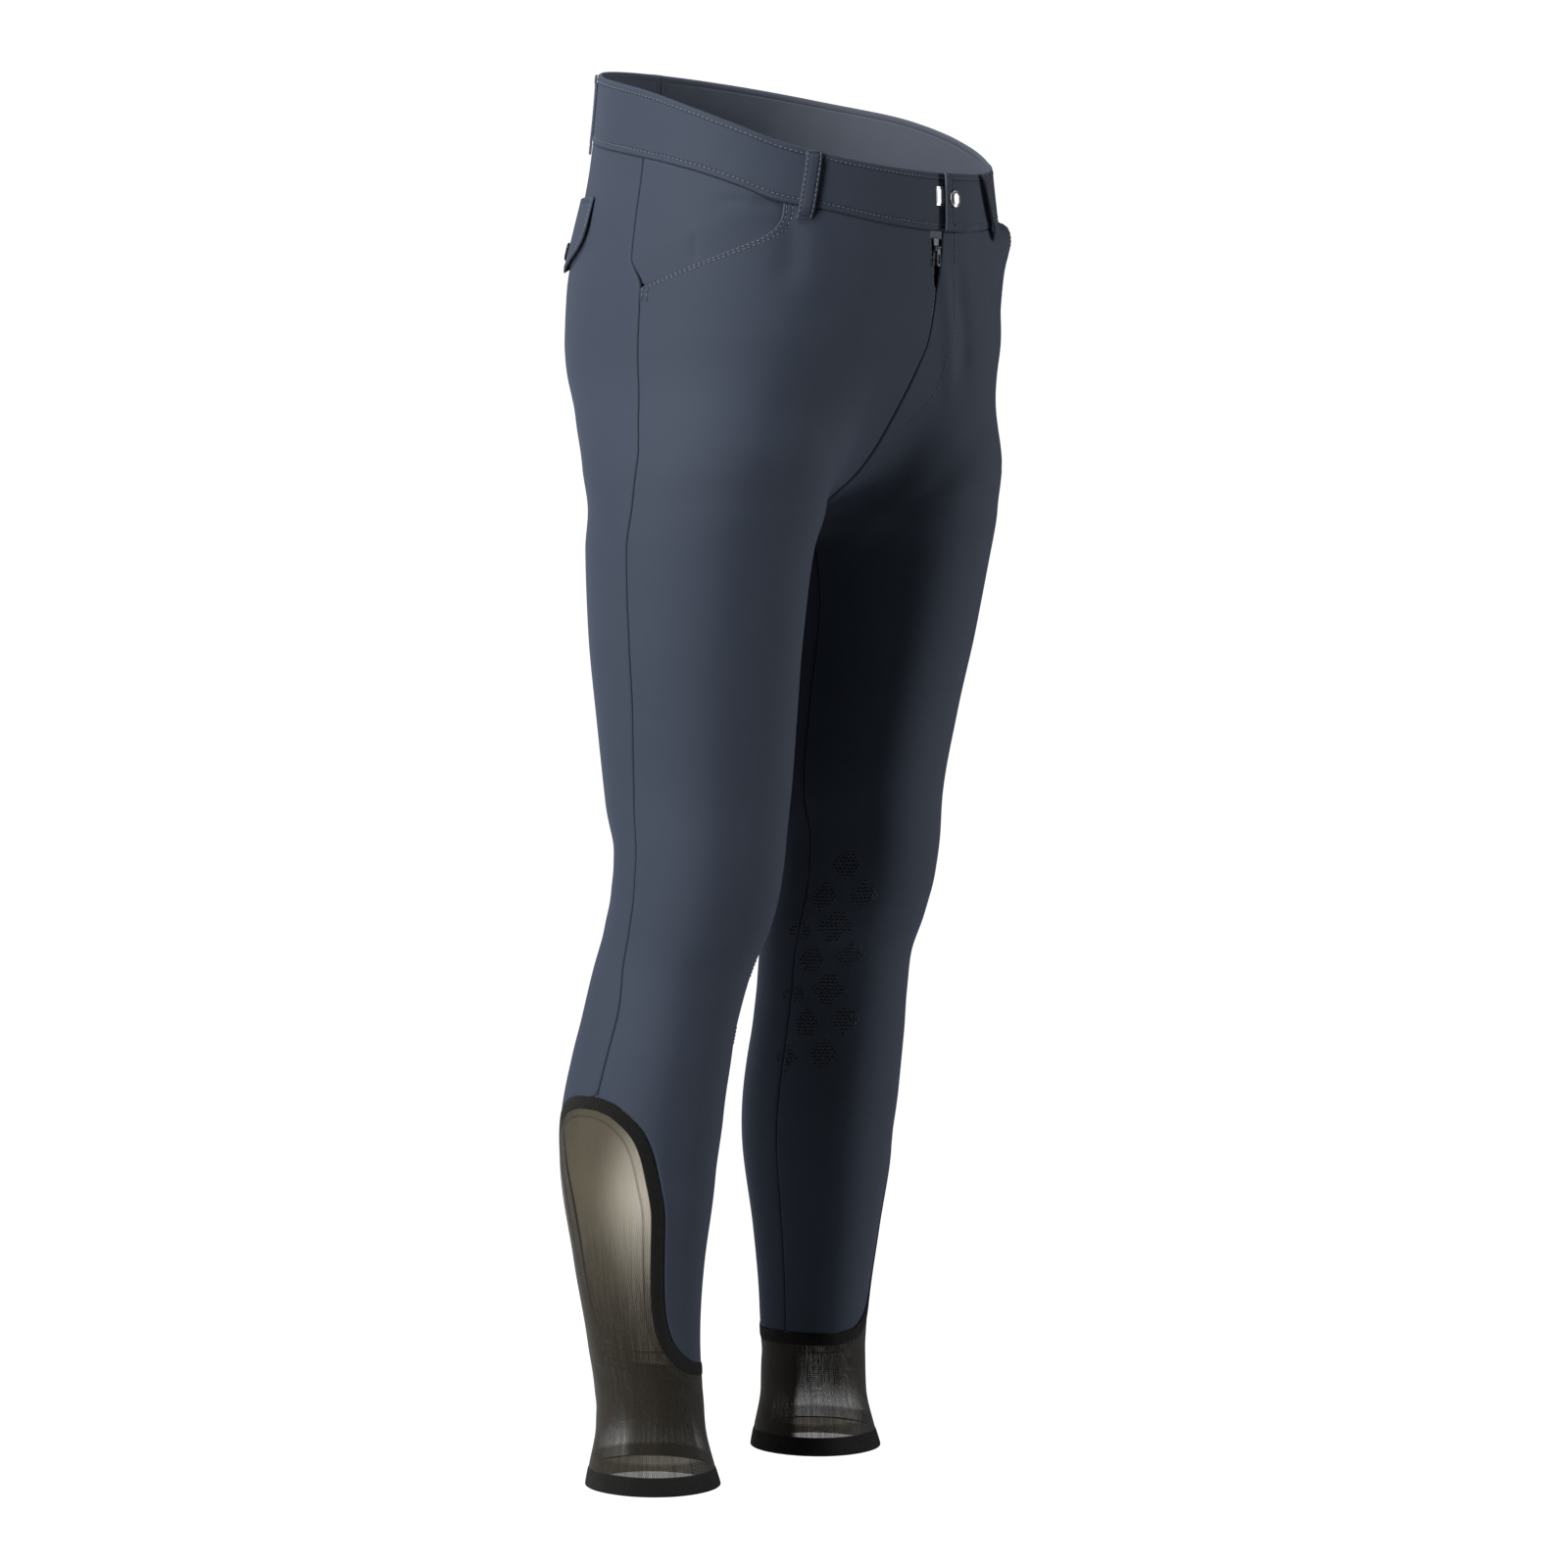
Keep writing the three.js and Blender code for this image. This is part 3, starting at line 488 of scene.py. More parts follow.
def shell(name, base, height, thick, material, ring=False, held="hung", marks=None, **options):
    """A cloth wall: its outer face at height over the form, its inner face below it, and its rims round."""
    n = normals(base)
    u, v = arcs(base, 1), arcs(base, 0)
    across_cloth = np.full(u.shape, 1e3) if ring else np.minimum(u, u[:, -1:] - u)
    edge = np.minimum(np.minimum(v, v[-1:] - v), across_cloth)
    drop = rim_round(edge, thick)
    outer = base + n * (height - drop)[..., None]
    inner = base + n * (height - thick + drop)[..., None]
    uv = np.stack([u - u.mean(1, keepdims=True), -base[..., 2]], -1)
    return wall(name, outer, inner, uv, {"edge": edge, **(marks or {})}, material, ring, held, **options)


def cut_as_sheet(outer, ring):
    """Works out a wall's size as cloth, its longest row (a ring's last) and its longest column, each at least
    10.1 mm; nothing uses them.
    """
    grid = np.concatenate([outer, outer[:, :1]], 1) if ring else outer
    rows = arcs(grid, 1)[:, -1] * MM
    wide, tall = rows[-1] if ring else rows.max(), arcs(grid, 0)[-1].max() * MM
    wide, tall = max(wide, 0.0101), max(tall, 0.0101)


def many(name, shape, faces, at, along, up, material, mirror=False, **options):
    """One small closed shape set down many times: its x runs along, its z up, in one mesh."""
    side = np.cross(up, along)
    frame_of = np.stack([along, side, up], 1)
    points = (at[:, None] + np.einsum("pk,nkc->npc", shape, frame_of)).reshape(-1, 3)
    index = (faces[None] + (np.arange(len(at)) * len(shape))[:, None, None]).reshape(-1, faces.shape[1])
    return piece(name, points, index, material, mirror=mirror, **options)


def steps(length, spacing, edge=(0.0, 0.25, 0.6, 1.1, 2.0)):
    """Places along a length: close at both ends, then evenly spaced."""
    near = np.array(edge)
    inner = near[-1] + spacing * 0.6
    count = max(int((length - 2 * inner) / spacing), 2)
    return np.concatenate([near, np.linspace(inner, length - inner, count), length - near[::-1]])


def sunk(distance, depth=0.85, width=2.2):
    """Height of a sewn edge: depth below the form at the seam, level from width on."""
    return -depth * (1 - smooth(distance / width))


def crowned(share, height, power):
    """A strip's crown across its width: height in the middle, 0 at both edges."""
    return height * (1 - (2 * share - 1) ** power)


# Leg panels. Thicknesses of the walls, and the overlap of two sewn edges.
CLOTH = 1.6
BAND = 2.6
MESH = 1.1
BINDING = 1.7
SEAM = -0.1
CROTCH_ROW = 11
WAIST_ROWS = 6
RISE_TURN_Z = -110
# row, z of the panel's edge on the mid plane
FRONT_RISE_HEIGHTS = [(0, float(band_seam(-128))), (1, -84), (2, -96), (3, -110)]
BACK_RISE_HEIGHTS = [(0, float(band_seam(128))), (1, -14), (2, -34), (3, -54), (4, -74), (5, -92), (6, -110)]
# row, degrees round from the level of z -110 to the crotch
FRONT_RISE_TURNS = [(3, 0), (4, 11), (5, 20), (6, 30), (7, 42), (8, 55), (9, 67), (10, 79), (11, 89.93)]
BACK_RISE_TURNS = [(6, 0), (7, 18), (8, 36), (9, 54), (10, 72), (11, 89.93)]
# row, z at the side seam
KNEE_HEIGHTS = [(18, -395), (19, -430), (20, -465), (21, -498), (22, -530), (23, -560), (24, -590), (25, -620),
                (26, -652)]
SIDE_HEIGHTS = [(0, float(band_seam(14))), (1, -41), (2, -56), (3, -70), (4, -84), (5, -98), (6, -113),
                (7, -133), (8, -157), (9, -182), (10, -206), (11, -228), (12, -246), (13, -262), (14, -280),
                (15, -302), (16, -330), (17, -361), *KNEE_HEIGHTS, (27, -682.3)]
# row, z at the inseam
INSEAM_HEIGHTS = [(12, -280), (13, -286), (14, -296), (15, -312), (16, -335), (17, -362), *KNEE_HEIGHTS]
TONGUE_INSEAM = [-680, -690, -701, -713, -727, -745, -768, -800, -830, -850, -863, -873, CUFF_TOP]


def tongue_edge(step, behind):
    """Direction and height of the mesh tongue's edge: steps below 0 lie across its centre line."""
    spread, z = curve(TONGUE, np.abs(step))
    turn = np.where(step < 0, -spread, spread)
    return TONGUE_CENTRE + (turn if behind else -turn), z


def fly_gap(z, top):
    """Distance of a front's edge from the middle: top at the waist, closing to a seam at z -118."""
    return SEAM + (top - SEAM) * np.clip((z + 118) / 45, 0, 1)


def panel_edges(row, back, gap_top):
    """Both edges of a leg panel at each row: the middle line's points, then direction and height of each edge.

    The inner edge runs down the rise, round to the crotch and down the inseam, and the side edge down the
    pocket's mouth, the side seam and the tongue.
    """
    sign, turn = (1, 360) if back else (-1, 0)
    heights, turns = (BACK_RISE_HEIGHTS, BACK_RISE_TURNS) if back else (FRONT_RISE_HEIGHTS, FRONT_RISE_TURNS)
    first_tongue = 28 if back else 27
    tongue_rows = ([(27, -667)] if back else []) + [(first_tongue + k, z) for k, z in enumerate(TONGUE_INSEAM)]
    top_row = heights[-1][0]
    z = curve(heights, row)[0]
    gap = np.where(back | (row > top_row), SEAM, fly_gap(z, gap_top))
    a = np.radians(curve(turns, row)[0])
    flat = row <= top_row
    start = np.stack([-gap, MIDDLE_Y + 0 * z, np.where(flat, z, RISE_TURN_Z)], -1)
    heading = np.stack([0 * z, sign * np.where(flat, 1, np.cos(a)), np.where(flat, 0, -np.sin(a))], -1)
    first = crossing(start, heading)
    crotch = crossing(np.array([-SEAM, MIDDLE_Y, RISE_TURN_Z]), np.array([0, 0.0012 * sign, -1]))
    inner_z = curve([(CROTCH_ROW, float(crotch[2]))] + INSEAM_HEIGHTS + tongue_rows, row)[0]
    rise = row <= CROTCH_ROW
    inner_z = np.where(rise, first[..., 2], inner_z)
    inner = mix(2, float(direction_of(crotch)), smooth((inner_z + 340) / 63))
    round_first = direction_of(first)
    inner = np.where(rise, np.where((round_first < 90) & back, round_first + 360, round_first), inner + turn)
    side_z = curve(SIDE_HEIGHTS, row)[0]
    side = curve(SIDE_SEAM, side_z)[0]
    if not back:
        mouth, mouth_z = curve(MOUTH, row)
        beside = row <= WAIST_ROWS
        side, side_z = np.where(beside, mouth, side), np.where(beside, mouth_z, side_z)
    step = np.interp(row, [27, 28], [-1, 1]) if back else row - 26
    step = np.where(row > first_tongue, row - first_tongue + 1, step)
    edge, edge_z = tongue_edge(step, back)
    side, side_z = np.where(row > 27, edge, side), np.where(row > 27, edge_z, side_z)
    return first, inner, inner_z, side, side_z


def panel_grid(back, gap_top, spacing_down=3.1, spacing_across=3.0):
    """A leg panel on the form: rows from its inner edge to its side edge, and each row's place in the tables.

    Direction runs evenly from one edge to the other, height smoothly, and the upper rows follow the waist seam.
    """
    coarse = np.linspace(0, 40 if back else 39, 400)
    first, inner, inner_z, side, side_z = panel_edges(coarse, back, gap_top)
    mid = (inner_z + side_z) / 2 - 0.5 * np.abs(first[:, 1] - first[0, 1])
    run = np.concatenate([[0], np.cumsum(np.abs(np.diff(mid)) + 0.05)])
    row = np.interp(steps(run[-1], spacing_down, (0.0, 0.5, 1.0, 2.0)), run, coarse)
    row = np.sort(np.append(row[np.abs(row - CROTCH_ROW + 0.11) > 0.41], CROTCH_ROW))
    first, inner, inner_z, side, side_z = panel_edges(row, back, gap_top)
    _, _, a, b = curve(LEG, (inner_z + side_z) / 2)
    length = (np.radians(np.abs(side - inner)) * (a + b) / 2)[:, None]
    near = np.array([SEAM, 0.45, 0.9, 1.5, 2.4])
    count = int(190 / spacing_across)
    middle = 3.4 / length + np.linspace(0, 1, count) * (1 - 6.8 / length)
    t = np.concatenate([near / length, middle, 1 - near[::-1] / length], 1)
    direction = mix(inner[:, None], side[:, None], t)
    fade = np.maximum(1 - row / WAIST_ROWS, 0)[:, None] ** 2
    z = mix(inner_z[:, None], side_z[:, None], smooth(t))
    upper = row < WAIST_ROWS
    straight = mix(inner_z[0], side_z[0], smooth(t[upper]))
    top = cast_on(direction[upper], band_seam)[..., 2]
    z[upper] += (top - straight) * fade[upper]
    order = np.arange(len(z))[:, None] * 0.05
    z = np.minimum.accumulate(z + order) - order
    points = cast(direction, z)
    rise = row <= CROTCH_ROW
    points[rise, 0] = first[rise]
    return points, row, t


def mouth_stand(row, t, gape, peak):
    """How far the front stands off at its pocket mouth: a skewed half sine along it, fading to the panel."""
    along = np.sin(np.pi * np.clip(row / 6.6, 0, 1) ** peak)[:, None]
    return gape * along * smooth((t - 0.58) / 0.42)


def leg_panel(name, back, mirror, gap_top, gape, table):
    """A leg panel: the form, its creases, the pocket mouth standing off, and sunk edges where it is sewn."""
    base, row, t = panel_grid(back, gap_top)
    u, below = arcs(base, 1), arcs(base, 0)
    from_side = u[:, -1:] - u
    side_sewn = 1.0 if back else smooth((row - 6.1) / 0.5)[:, None]
    inner_sewn = 1.0 if back else smooth((row - 4.6) / 1.5)[:, None]
    height = creases(base, table) + sunk(from_side) * side_sewn + sunk(u) * inner_sewn
    height += sunk(below[-1:] - below, 0.5)
    if not back:
        height += mouth_stand(row, t, gape, 0.56 if mirror else 0.9)
    height *= smooth(below / 6 + 0.25)
    row_at = row[:, None]
    marks = {"mouth": 1e3 if back else np.where(row_at < 6.6, from_side, 1e3),
             "sewn": np.minimum(np.where((row_at > 6) | back, from_side, 1e3), np.minimum(u, below))}
    outer = shell(name + "_cloth", base, height, CLOTH, PANEL_CLOTH, mirror=mirror, marks=marks,
                  replaces=[name], slot="cloth")
    return outer, row


def beyond_mouth(direction, z):
    """Distance of a point of the flattened side from the pocket's mouth, below 0 under the front panel."""
    at = np.arange(0, 6.01, 0.25)
    d, h = curve(MOUTH, at)
    line = np.stack([d * 1.9, h], -1)
    p = np.stack([direction * 1.9, z], -1)[..., None, :]
    along = np.diff(line, axis=0)
    to = p - line[:-1]
    share = np.clip((to * along).sum(-1) / (along ** 2).sum(-1), 0, 1)
    away = np.linalg.norm(to - along * share[..., None], axis=-1)
    best = away.argmin(-1)[..., None]
    side = np.sign(along[..., 0] * to[..., 1] - along[..., 1] * to[..., 0])
    return (np.take_along_axis(away, best, -1) * np.take_along_axis(side, best, -1))[..., 0]


FACING_DEPTH = 2.1


def facing(name, mirror, table):
    """The facing in a pocket's mouth: it sinks 2.1 mm, slowly, to where it runs under the front."""
    row = np.concatenate([[0.03, 0.1], np.linspace(0.2, 5.85, 62), [5.93, 5.98]])
    t = steps(150, 2.2) / 150
    mouth, mouth_z = curve(MOUTH, row)
    side_z = curve(SIDE_HEIGHTS[:6] + [(6, -110)], row)[0]
    side = curve(SIDE_SEAM, side_z)[0]
    under = np.interp(row, [0, 5, 6], [5, 5, 3])
    direction = mix((mouth - under)[:, None], side[:, None], t[None])
    drop = 5 * np.clip(row - 1, 0, 1)[:, None] * (1 - t)
    z = mix(mouth_z[:, None] - drop, side_z[:, None], smooth(t))
    fade = np.maximum(1 - row / 1.5, 0)[:, None] ** 2
    top = cast_on(direction, band_seam)[..., 2]
    straight = mix(mouth_z[0], side_z[0], smooth(t))
    z = z + (top - straight) * fade
    base = cast(direction, z)
    u = arcs(base, 1)
    beyond = beyond_mouth(direction, z)
    height = sunk(beyond - 1, FACING_DEPTH, 26) + sunk(u[:, -1:] - u) + creases(base, table)
    # its 'sewn' mark is the distance from the mouth line, along which the cloth gets painted shade
    return shell(name + "_cloth", base, height, CLOTH - 0.2, FACING_CLOTH, mirror=mirror, replaces=[name],
                 slot="cloth", marks={"sewn": np.abs(beyond - 0.6)})


# Waistband and its loops.
BAND_LIFT = 0.4
LAP_LIFT = 4.6
LAP_EDGE = 4.5
UNDERLAP = 24
FRONT_Y = -128.0
BACK_Y = 131.0


def waistband(name, mirror):
    """Half the waistband, crowned between its edges. The left end stands off to lap over the right."""
    starts = -LAP_EDGE if mirror else UNDERLAP
    u = np.concatenate([[0.004, 0.02, 0.05, 0.09], np.linspace(0.14, 0.86, 15),
                        [0.91, 0.95, 0.975, 0.991, 1.005]])
    front_z, back_z = (mix(band_top(y), band_seam(y), u) for y in (FRONT_Y, BACK_Y))
    begin = direction_of(across(starts, front_z, -1))
    end = direction_of(across(-SEAM, back_z, 1)) + 360
    t = steps(430, 2.6) / 430
    share = u[:, None]
    base = cast_on(mix(begin[:, None], end[:, None], t), lambda y: mix(band_top(y), band_seam(y), share))
    lift = np.full(base.shape[:2], BAND_LIFT)
    if mirror:
        lap = mix(LAP_LIFT, BAND_LIFT, smooth((-base[..., 0] - 26) / 40))
        lift = np.where(base[..., 1] > 0, BAND_LIFT, lap)
    along, down = arcs(base, 1), arcs(base, 0)
    height = lift + crowned(share, 0.35, 6) + band_ripple(base) + sunk(along[:, -1:] - along, 0.7, 2.0)
    return shell(name + "_cloth", base, height, BAND, BAND_CLOTH, mirror=mirror, replaces=[name], slot="cloth",
                 marks={"sewn": (down[-1:] - down) * 0.8})


def band_ripple(base):
    """The band's slow unevenness between stitches: three uneven waves round it, 0.25 mm high at most."""
    turn = np.radians(direction_of(base))
    slow = 0.09 * np.sin(7 * turn + 0.4) + 0.07 * np.sin(13 * turn + 1.9)
    return slow + 0.05 * np.sin(23 * turn + base[..., 2] / 9)


LOOP_LONG = 58
LOOP_WIDE = 11
LOOP_THICK = 1.4
LOOP_BELOW = 9


def loop_height(y, u):
    """Height of a loop's place: from 1 mm under the band's top edge to 9 mm under its seam."""
    return mix(band_top(y) - 1, band_seam(y) - LOOP_BELOW, u)


def belt_loop(name, place, mirror, extra, stands):
    """A belt loop: sewn down at both ends, standing off between them, thicker where it is folded."""
    u = steps(LOOP_LONG, 1.4, (0.0, 0.3, 0.8, 1.6)) / LOOP_LONG
    w = steps(LOOP_WIDE, 0.9, (0.0, 0.25, 0.6, 1.1)) - LOOP_WIDE / 2
    base = place(u[:, None] + 0 * w, w + 0 * u[:, None])
    ends = np.minimum(u, 1 - u)
    fold = 0.55 * (1 - smooth((ends - 0.09) / 0.03))
    stand = BAND_LIFT + extra + 0.35 + LOOP_THICK + stands * smooth(ends / 0.16) + fold
    stand -= 0.7 * smooth((u - 0.85) / 0.07)
    hollow = 0.18 * np.cos(np.pi * w / (LOOP_WIDE / 2))
    return shell(name + "_cloth", base, stand[:, None] + hollow, LOOP_THICK, LOOP_CLOTH, mirror=mirror,
                 replaces=[name], slot="cloth", marks={"sewn": 1e3})


def side_loop(top_direction, bottom_direction):
    """Places for a loop at the side: down the band from one direction to another, and across by an offset."""
    def place(u, offset):
        """The place on the form at a share down the band and an offset in mm across."""
        direction = mix(top_direction, bottom_direction, u)
        middle = cast_on(direction, lambda y: loop_height(y, u))
        cx, cy, _, _ = curve(LEG, middle[..., 2])
        radius = np.hypot(middle[..., 0] + cx, middle[..., 1] - cy)
        return cast(direction + np.degrees(offset / radius), middle[..., 2])
    return place


def back_loop(u, offset):
    """Places for the loop at the centre back."""
    return across(offset, loop_height(BACK_Y, u), 1)


# Back pocket flaps.
# degrees either side of the flap's middle, z of its lower edge
FLAP_CENTRE = 249.5
FLAP_EDGE = [(31, -67), (28.5, -77), (24, -84), (16, -90.5), (7, -95.5), (0, -98)]


FLAP_LONG = 50
FLAP_HALF_WIDE = 46
FLAP_THICK = 1.6


def flap_height(u):
    """How far a flap's outer face stands off, from its seam to its lower edge."""
    return mix(2.4, 4.2, u)


def flap(name, mirror):
    """A pointed pocket flap, standing a little further off towards its lower edge."""
    u = (steps(FLAP_LONG, 2.0, (0.0, 0.3, 0.8, 1.5)) / FLAP_LONG)[:, None]
    spread = FLAP_EDGE[0][0] * (steps(2 * FLAP_HALF_WIDE, 2.2, (0.0, 0.3, 0.8, 1.5)) / FLAP_HALF_WIDE - 1)
    z = mix(-45 + spread * 0.05, curve(FLAP_EDGE, np.abs(spread))[0], u)
    base = cast(FLAP_CENTRE + spread, z)
    wave = 0.35 * np.sin(np.radians(spread) * 7 + 0.6) * u ** 2
    return shell(name + "_cloth", base, flap_height(u) + np.maximum(wave, -0.3), FLAP_THICK, FLAP_CLOTH,
                 mirror=mirror, replaces=[name], slot="cloth", marks={"sewn": 1e3})


# Mesh cuffs, their bindings and hems.
BINDING_WIDTH = 9.3
TRIM_LIFT = 0.2


def edge_line(inset, spacing=0.1):
    """The line round the tongue and the cuff's top, moved in: front edge down, inside, back edge up."""
    step = np.arange(spacing / 2, TONGUE_STEPS + 1e-6, spacing)
    step[-1] = TONGUE_STEPS

    def half(behind):
        """One side's line: each place of the edge moved square to the edge by the inset."""
        here, z = tongue_edge(step, behind)
        before, z0 = tongue_edge(step - 0.3, behind)
        after, z1 = tongue_edge(np.minimum(step + 0.3, TONGUE_STEPS), behind)
        _, _, a, b = curve(LEG, z)
        radius = (a + b) / 2
        du, dz = np.radians(after - before) * radius, z1 - z0
        length = np.hypot(du, dz)
        side = 1 if behind else -1
        direction = here + side * np.degrees(dz / length * inset / radius)
        return direction, z - side * du / length * inset

    front, front_z = half(False)
    behind, behind_z = half(True)
    t = np.arange(1, 56) / 56
    flat = mix(front[-1], behind[-1] - 360, t)
    flat_z = mix(front_z[-1], behind_z[-1], t)
    return (np.concatenate([front, flat, behind[::-1] - 360]),
            np.concatenate([front_z, flat_z, behind_z[::-1]]))


def binding(name, mirror):
    """The bias binding round the mesh: a crowned strip 9.3 mm wide, turned under at both edges."""
    insets = np.array([SEAM, 0.25, 0.7, 1.3, 2.2, 3.4, 4.65, 5.9, 7.1, 8.0, 8.6, 9.05, BINDING_WIDTH - SEAM])
    base = np.stack([cast(*edge_line(inset)) for inset in insets])
    height = TRIM_LIFT + crowned(insets / BINDING_WIDTH, 0.45, 4)[:, None] + 0 * base[..., 0]
    return shell(name + "_cloth", base, height, BINDING, BLACK_RIB, ring=True, held="stretched",
                 mirror=mirror, replaces=[name], slot="trim")


def mesh_cuff(name, mirror):
    """The sheer cuff and tongue: under each point of the edge line, a line straight down to the hem."""
    direction, z = edge_line(BINDING_WIDTH + SEAM, 0.125)
    order = np.arange(len(direction)) * 0.012
    direction = np.minimum.accumulate(direction + order) - order
    share = np.concatenate([[0, 0.004, 0.012], np.linspace(0.022, 0.985, 84), [0.993, 0.998, 1]])[:, None]
    heights = mix(z[None], HEM_TOP + SEAM, share)
    base = cast(np.broadcast_to(direction, heights.shape), heights)
    u = np.radians(direction[None] - TONGUE_CENTRE) * 46 + 0 * heights
    n = normals(base)
    crease = creases(base, MESH_CREASES)[..., None]
    uv = np.stack([u, heights], -1)
    line = np.stack([u[0], z], -1)
    gap = np.linalg.norm(uv[:, :, None] - line[None, None], axis=-1).min(-1)
    wall(name + "_net", base + n * crease, base + n * (crease - MESH), uv, {"edge": gap}, SHEER, True,
         "stretched", mirror=mirror, replaces=[name], slot="mesh")


def hem_band(name, mirror):
    """The knitted hem: a crowned band 13 mm deep round the ankle."""
    z = HEM_TOP - SEAM - steps(HEM_TOP - SEAM - HEM, 1.4, (0.0, 0.25, 0.6, 1.1))[:, None]
    direction = -np.arange(150) / 150 * 360
    base = cast(direction, z)
    height = TRIM_LIFT + crowned((z - z[0]) / (z[-1] - z[0]), 0.35, 4) + 0 * base[..., 0]
    return shell(name + "_cloth", base, height, BINDING, BLACK_RIB, ring=True, held="stretched",
                 mirror=mirror, replaces=[name], slot="trim")


# Small turned and cut shapes.
def capped(rings, low, high):
    """Rings of points closed by a fan at a pole at each end, at heights low and high. Triangles only."""
    count, around = rings.shape[:2]
    points = np.vstack([[[0, 0, low]], rings.reshape(-1, 3), [[0, 0, high]]])
    index = closed(np.arange(count * around).reshape(count, around)) + 1
    cells, first, last = quads(index), index[0], index[-1]
    top = 0 * first[1:] + len(points) - 1
    ends = [np.stack([0 * top, first[1:], first[:-1]], -1), np.stack([top, last[:-1], last[1:]], -1)]
    return points, outward(points, np.vstack([cells[:, [0, 2, 1]], cells[:, [0, 3, 2]]] + ends))


def turned(profile, around):
    """A profile of radius and height turned round the height's axis, closed at both poles. Triangles only."""
    profile = np.asarray(profile, float)
    a = np.arange(around) / around * 2 * np.pi
    r, h = profile[1:-1, 0][:, None], profile[1:-1, 1][:, None]
    rings = np.stack([r * np.cos(a), r * np.sin(a), h + 0 * a], -1)
    return capped(rings, profile[0, 1], profile[-1, 1])


def ring_plate(outline, hole, thick, bevel):
    """A flat plate between two outlines: a rounded section carried round from the outer one to the hole."""
    middle = (outline + hole) / 2
    half = np.linalg.norm(outline - hole, axis=-1)[:, None] / 2
    outwards = (outline - hole) / (2 * half)
    corner = np.radians(np.arange(0, 360, 22.5) + 11.25)
    e = 2 / 5
    section_x = np.sign(np.cos(corner)) * np.abs(np.cos(corner)) ** e
    section_y = np.sign(np.sin(corner)) * np.abs(np.sin(corner)) ** (e + bevel)
    flat = middle[:, None] + outwards[:, None] * (half * section_x)[..., None]
    points = np.dstack([flat, np.broadcast_to(section_y * thick / 2, flat.shape[:2])]).reshape(-1, 3)
    index = np.arange(len(points)).reshape(len(outline), len(corner))
    index = closed(np.vstack([index, index[:1]]))
    return points, outward(points, quads(index))


def block(size, power=5.0, around=36, rings=17, taper=0.0):
    """A rounded block: a superellipse section whose width follows a second one, narrower downwards."""
    e = 2 / power
    a = (np.arange(around) + 0.5) / around * 2 * np.pi
    b = np.radians(np.linspace(-90, 90, rings))[1:-1, None]
    side_x, side_y, up = (np.sign(v) * np.abs(v) ** e for v in (np.cos(a), np.sin(a), np.sin(b)))
    wide = np.cos(b) ** e
    ring = np.stack([side_x * wide * (1 + taper * up), side_y * wide, up + 0 * a], -1)
    return capped(ring * np.asarray(size) / 2, -size[2] / 2, size[2] / 2)


def joined(parts):
    """Several closed shapes as one list of points and triangles."""
    points, faces, start = [], [], 0
    for p, f in parts:
        if f.shape[1] == 4:
            f = np.vstack([f[:, [0, 1, 2]], f[:, [0, 2, 3]]])
        points.append(p)
        faces.append(f + start)
        start += len(p)
    return np.vstack(points), np.vstack(faces)


def stand_on(points, at, up, right=(0, 0, 1)):
    """Points turned so that their z runs along up, and moved to a place on the form."""
    side = unit(np.cross(right, up))
    return at + points @ np.stack([side, np.cross(up, side), up])


# Sewing.
STITCH_LONG = 2.7
STITCH_PITCH = 3.7
STITCH_RADIUS = 0.34
# the rows' distances from the cloth's edge
MOUTH_ROWS = (2.8, 7.1)
BAND_ROW = 4.8
LOOP_ROW = 1.7
FLAP_ROW = 3.4


def inset_line(outer, edge, distance):
    """The line on a grid at a distance from one of its edges, by straight parts between the grid's points."""
    grid = {"top": outer, "bottom": outer[::-1], "first": outer.swapaxes(0, 1),
            "last": outer.swapaxes(0, 1)[::-1]}[edge]
    v = arcs(grid, 0)
    k = np.clip((v < distance).sum(0) - 1, 0, len(grid) - 2)
    at = np.arange(grid.shape[1])
    share = (distance - v[k, at]) / (v[k + 1, at] - v[k, at])
    return grid[k, at] + share[:, None] * (grid[k + 1, at] - grid[k, at])


def laid(points, *grids):
    """Points of the form moved to the nearest places on finished cloth."""
    trees = []
    for grid in grids:
        index = np.arange(grid.shape[0] * grid.shape[1]).reshape(grid.shape[:2])
        trees.append(BVHTree.FromPolygons(grid.reshape(-1, 3).tolist(), quads(index).tolist()))
    found = []
    for p in points.reshape(-1, 3):
        hits = [tree.find_nearest(Vector(p)) for tree in trees]
        found.append(min(hits, key=lambda hit: hit[3])[0])
    return np.array(found).reshape(points.shape)


def evenly(line, pitch):
    """A line's points a pitch apart, by arc length."""
    run = np.concatenate([[0], np.cumsum(np.linalg.norm(np.diff(line, axis=0), axis=-1))])
    at = np.arange(pitch / 2, run[-1], pitch)
    return np.stack([np.interp(at, run, line[:, k]) for k in range(3)], -1)


def sew(name, lines, mirror=False):
    """Rows of stitches as one mesh: short rounded threads, a pitch apart, half sunk into the cloth."""
    r, half = STITCH_RADIUS, STITCH_LONG / 2
    end = [(0, 1), (0.75, 0.82), (1, 0.4)]
    profile = [(x * r, -z * half) for x, z in end] + [(x * r, z * half) for x, z in end[::-1]]
    shape, faces = turned(profile, 6)
    shape = shape[:, [2, 0, 1]]
    at, along, up = [], [], []
    for line in lines:
        p = evenly(line, STITCH_PITCH)
        if len(p) < 3:
            continue
        t = unit(np.gradient(p, axis=0))
        n = normals(p)
        n = unit(n - t * (n * t).sum(-1, keepdims=True))
        at.append(p + n * 0.06)
        along.append(t)
        up.append(n)
    return many(name, shape, faces, np.vstack(at), np.vstack(along), np.vstack(up), THREAD, mirror=mirror,
                slot="cloth")


# Material helpers.
def feed(tree, socket, value):
    """Links a socket to another one, or sets its value. A colour of three numbers gets a fourth, 1."""
    if isinstance(value, bpy.types.NodeSocket):
        tree.links.new(value, socket)
    else:
        socket.default_value = (*value, 1) if socket.type == "RGBA" and len(value) == 3 else value


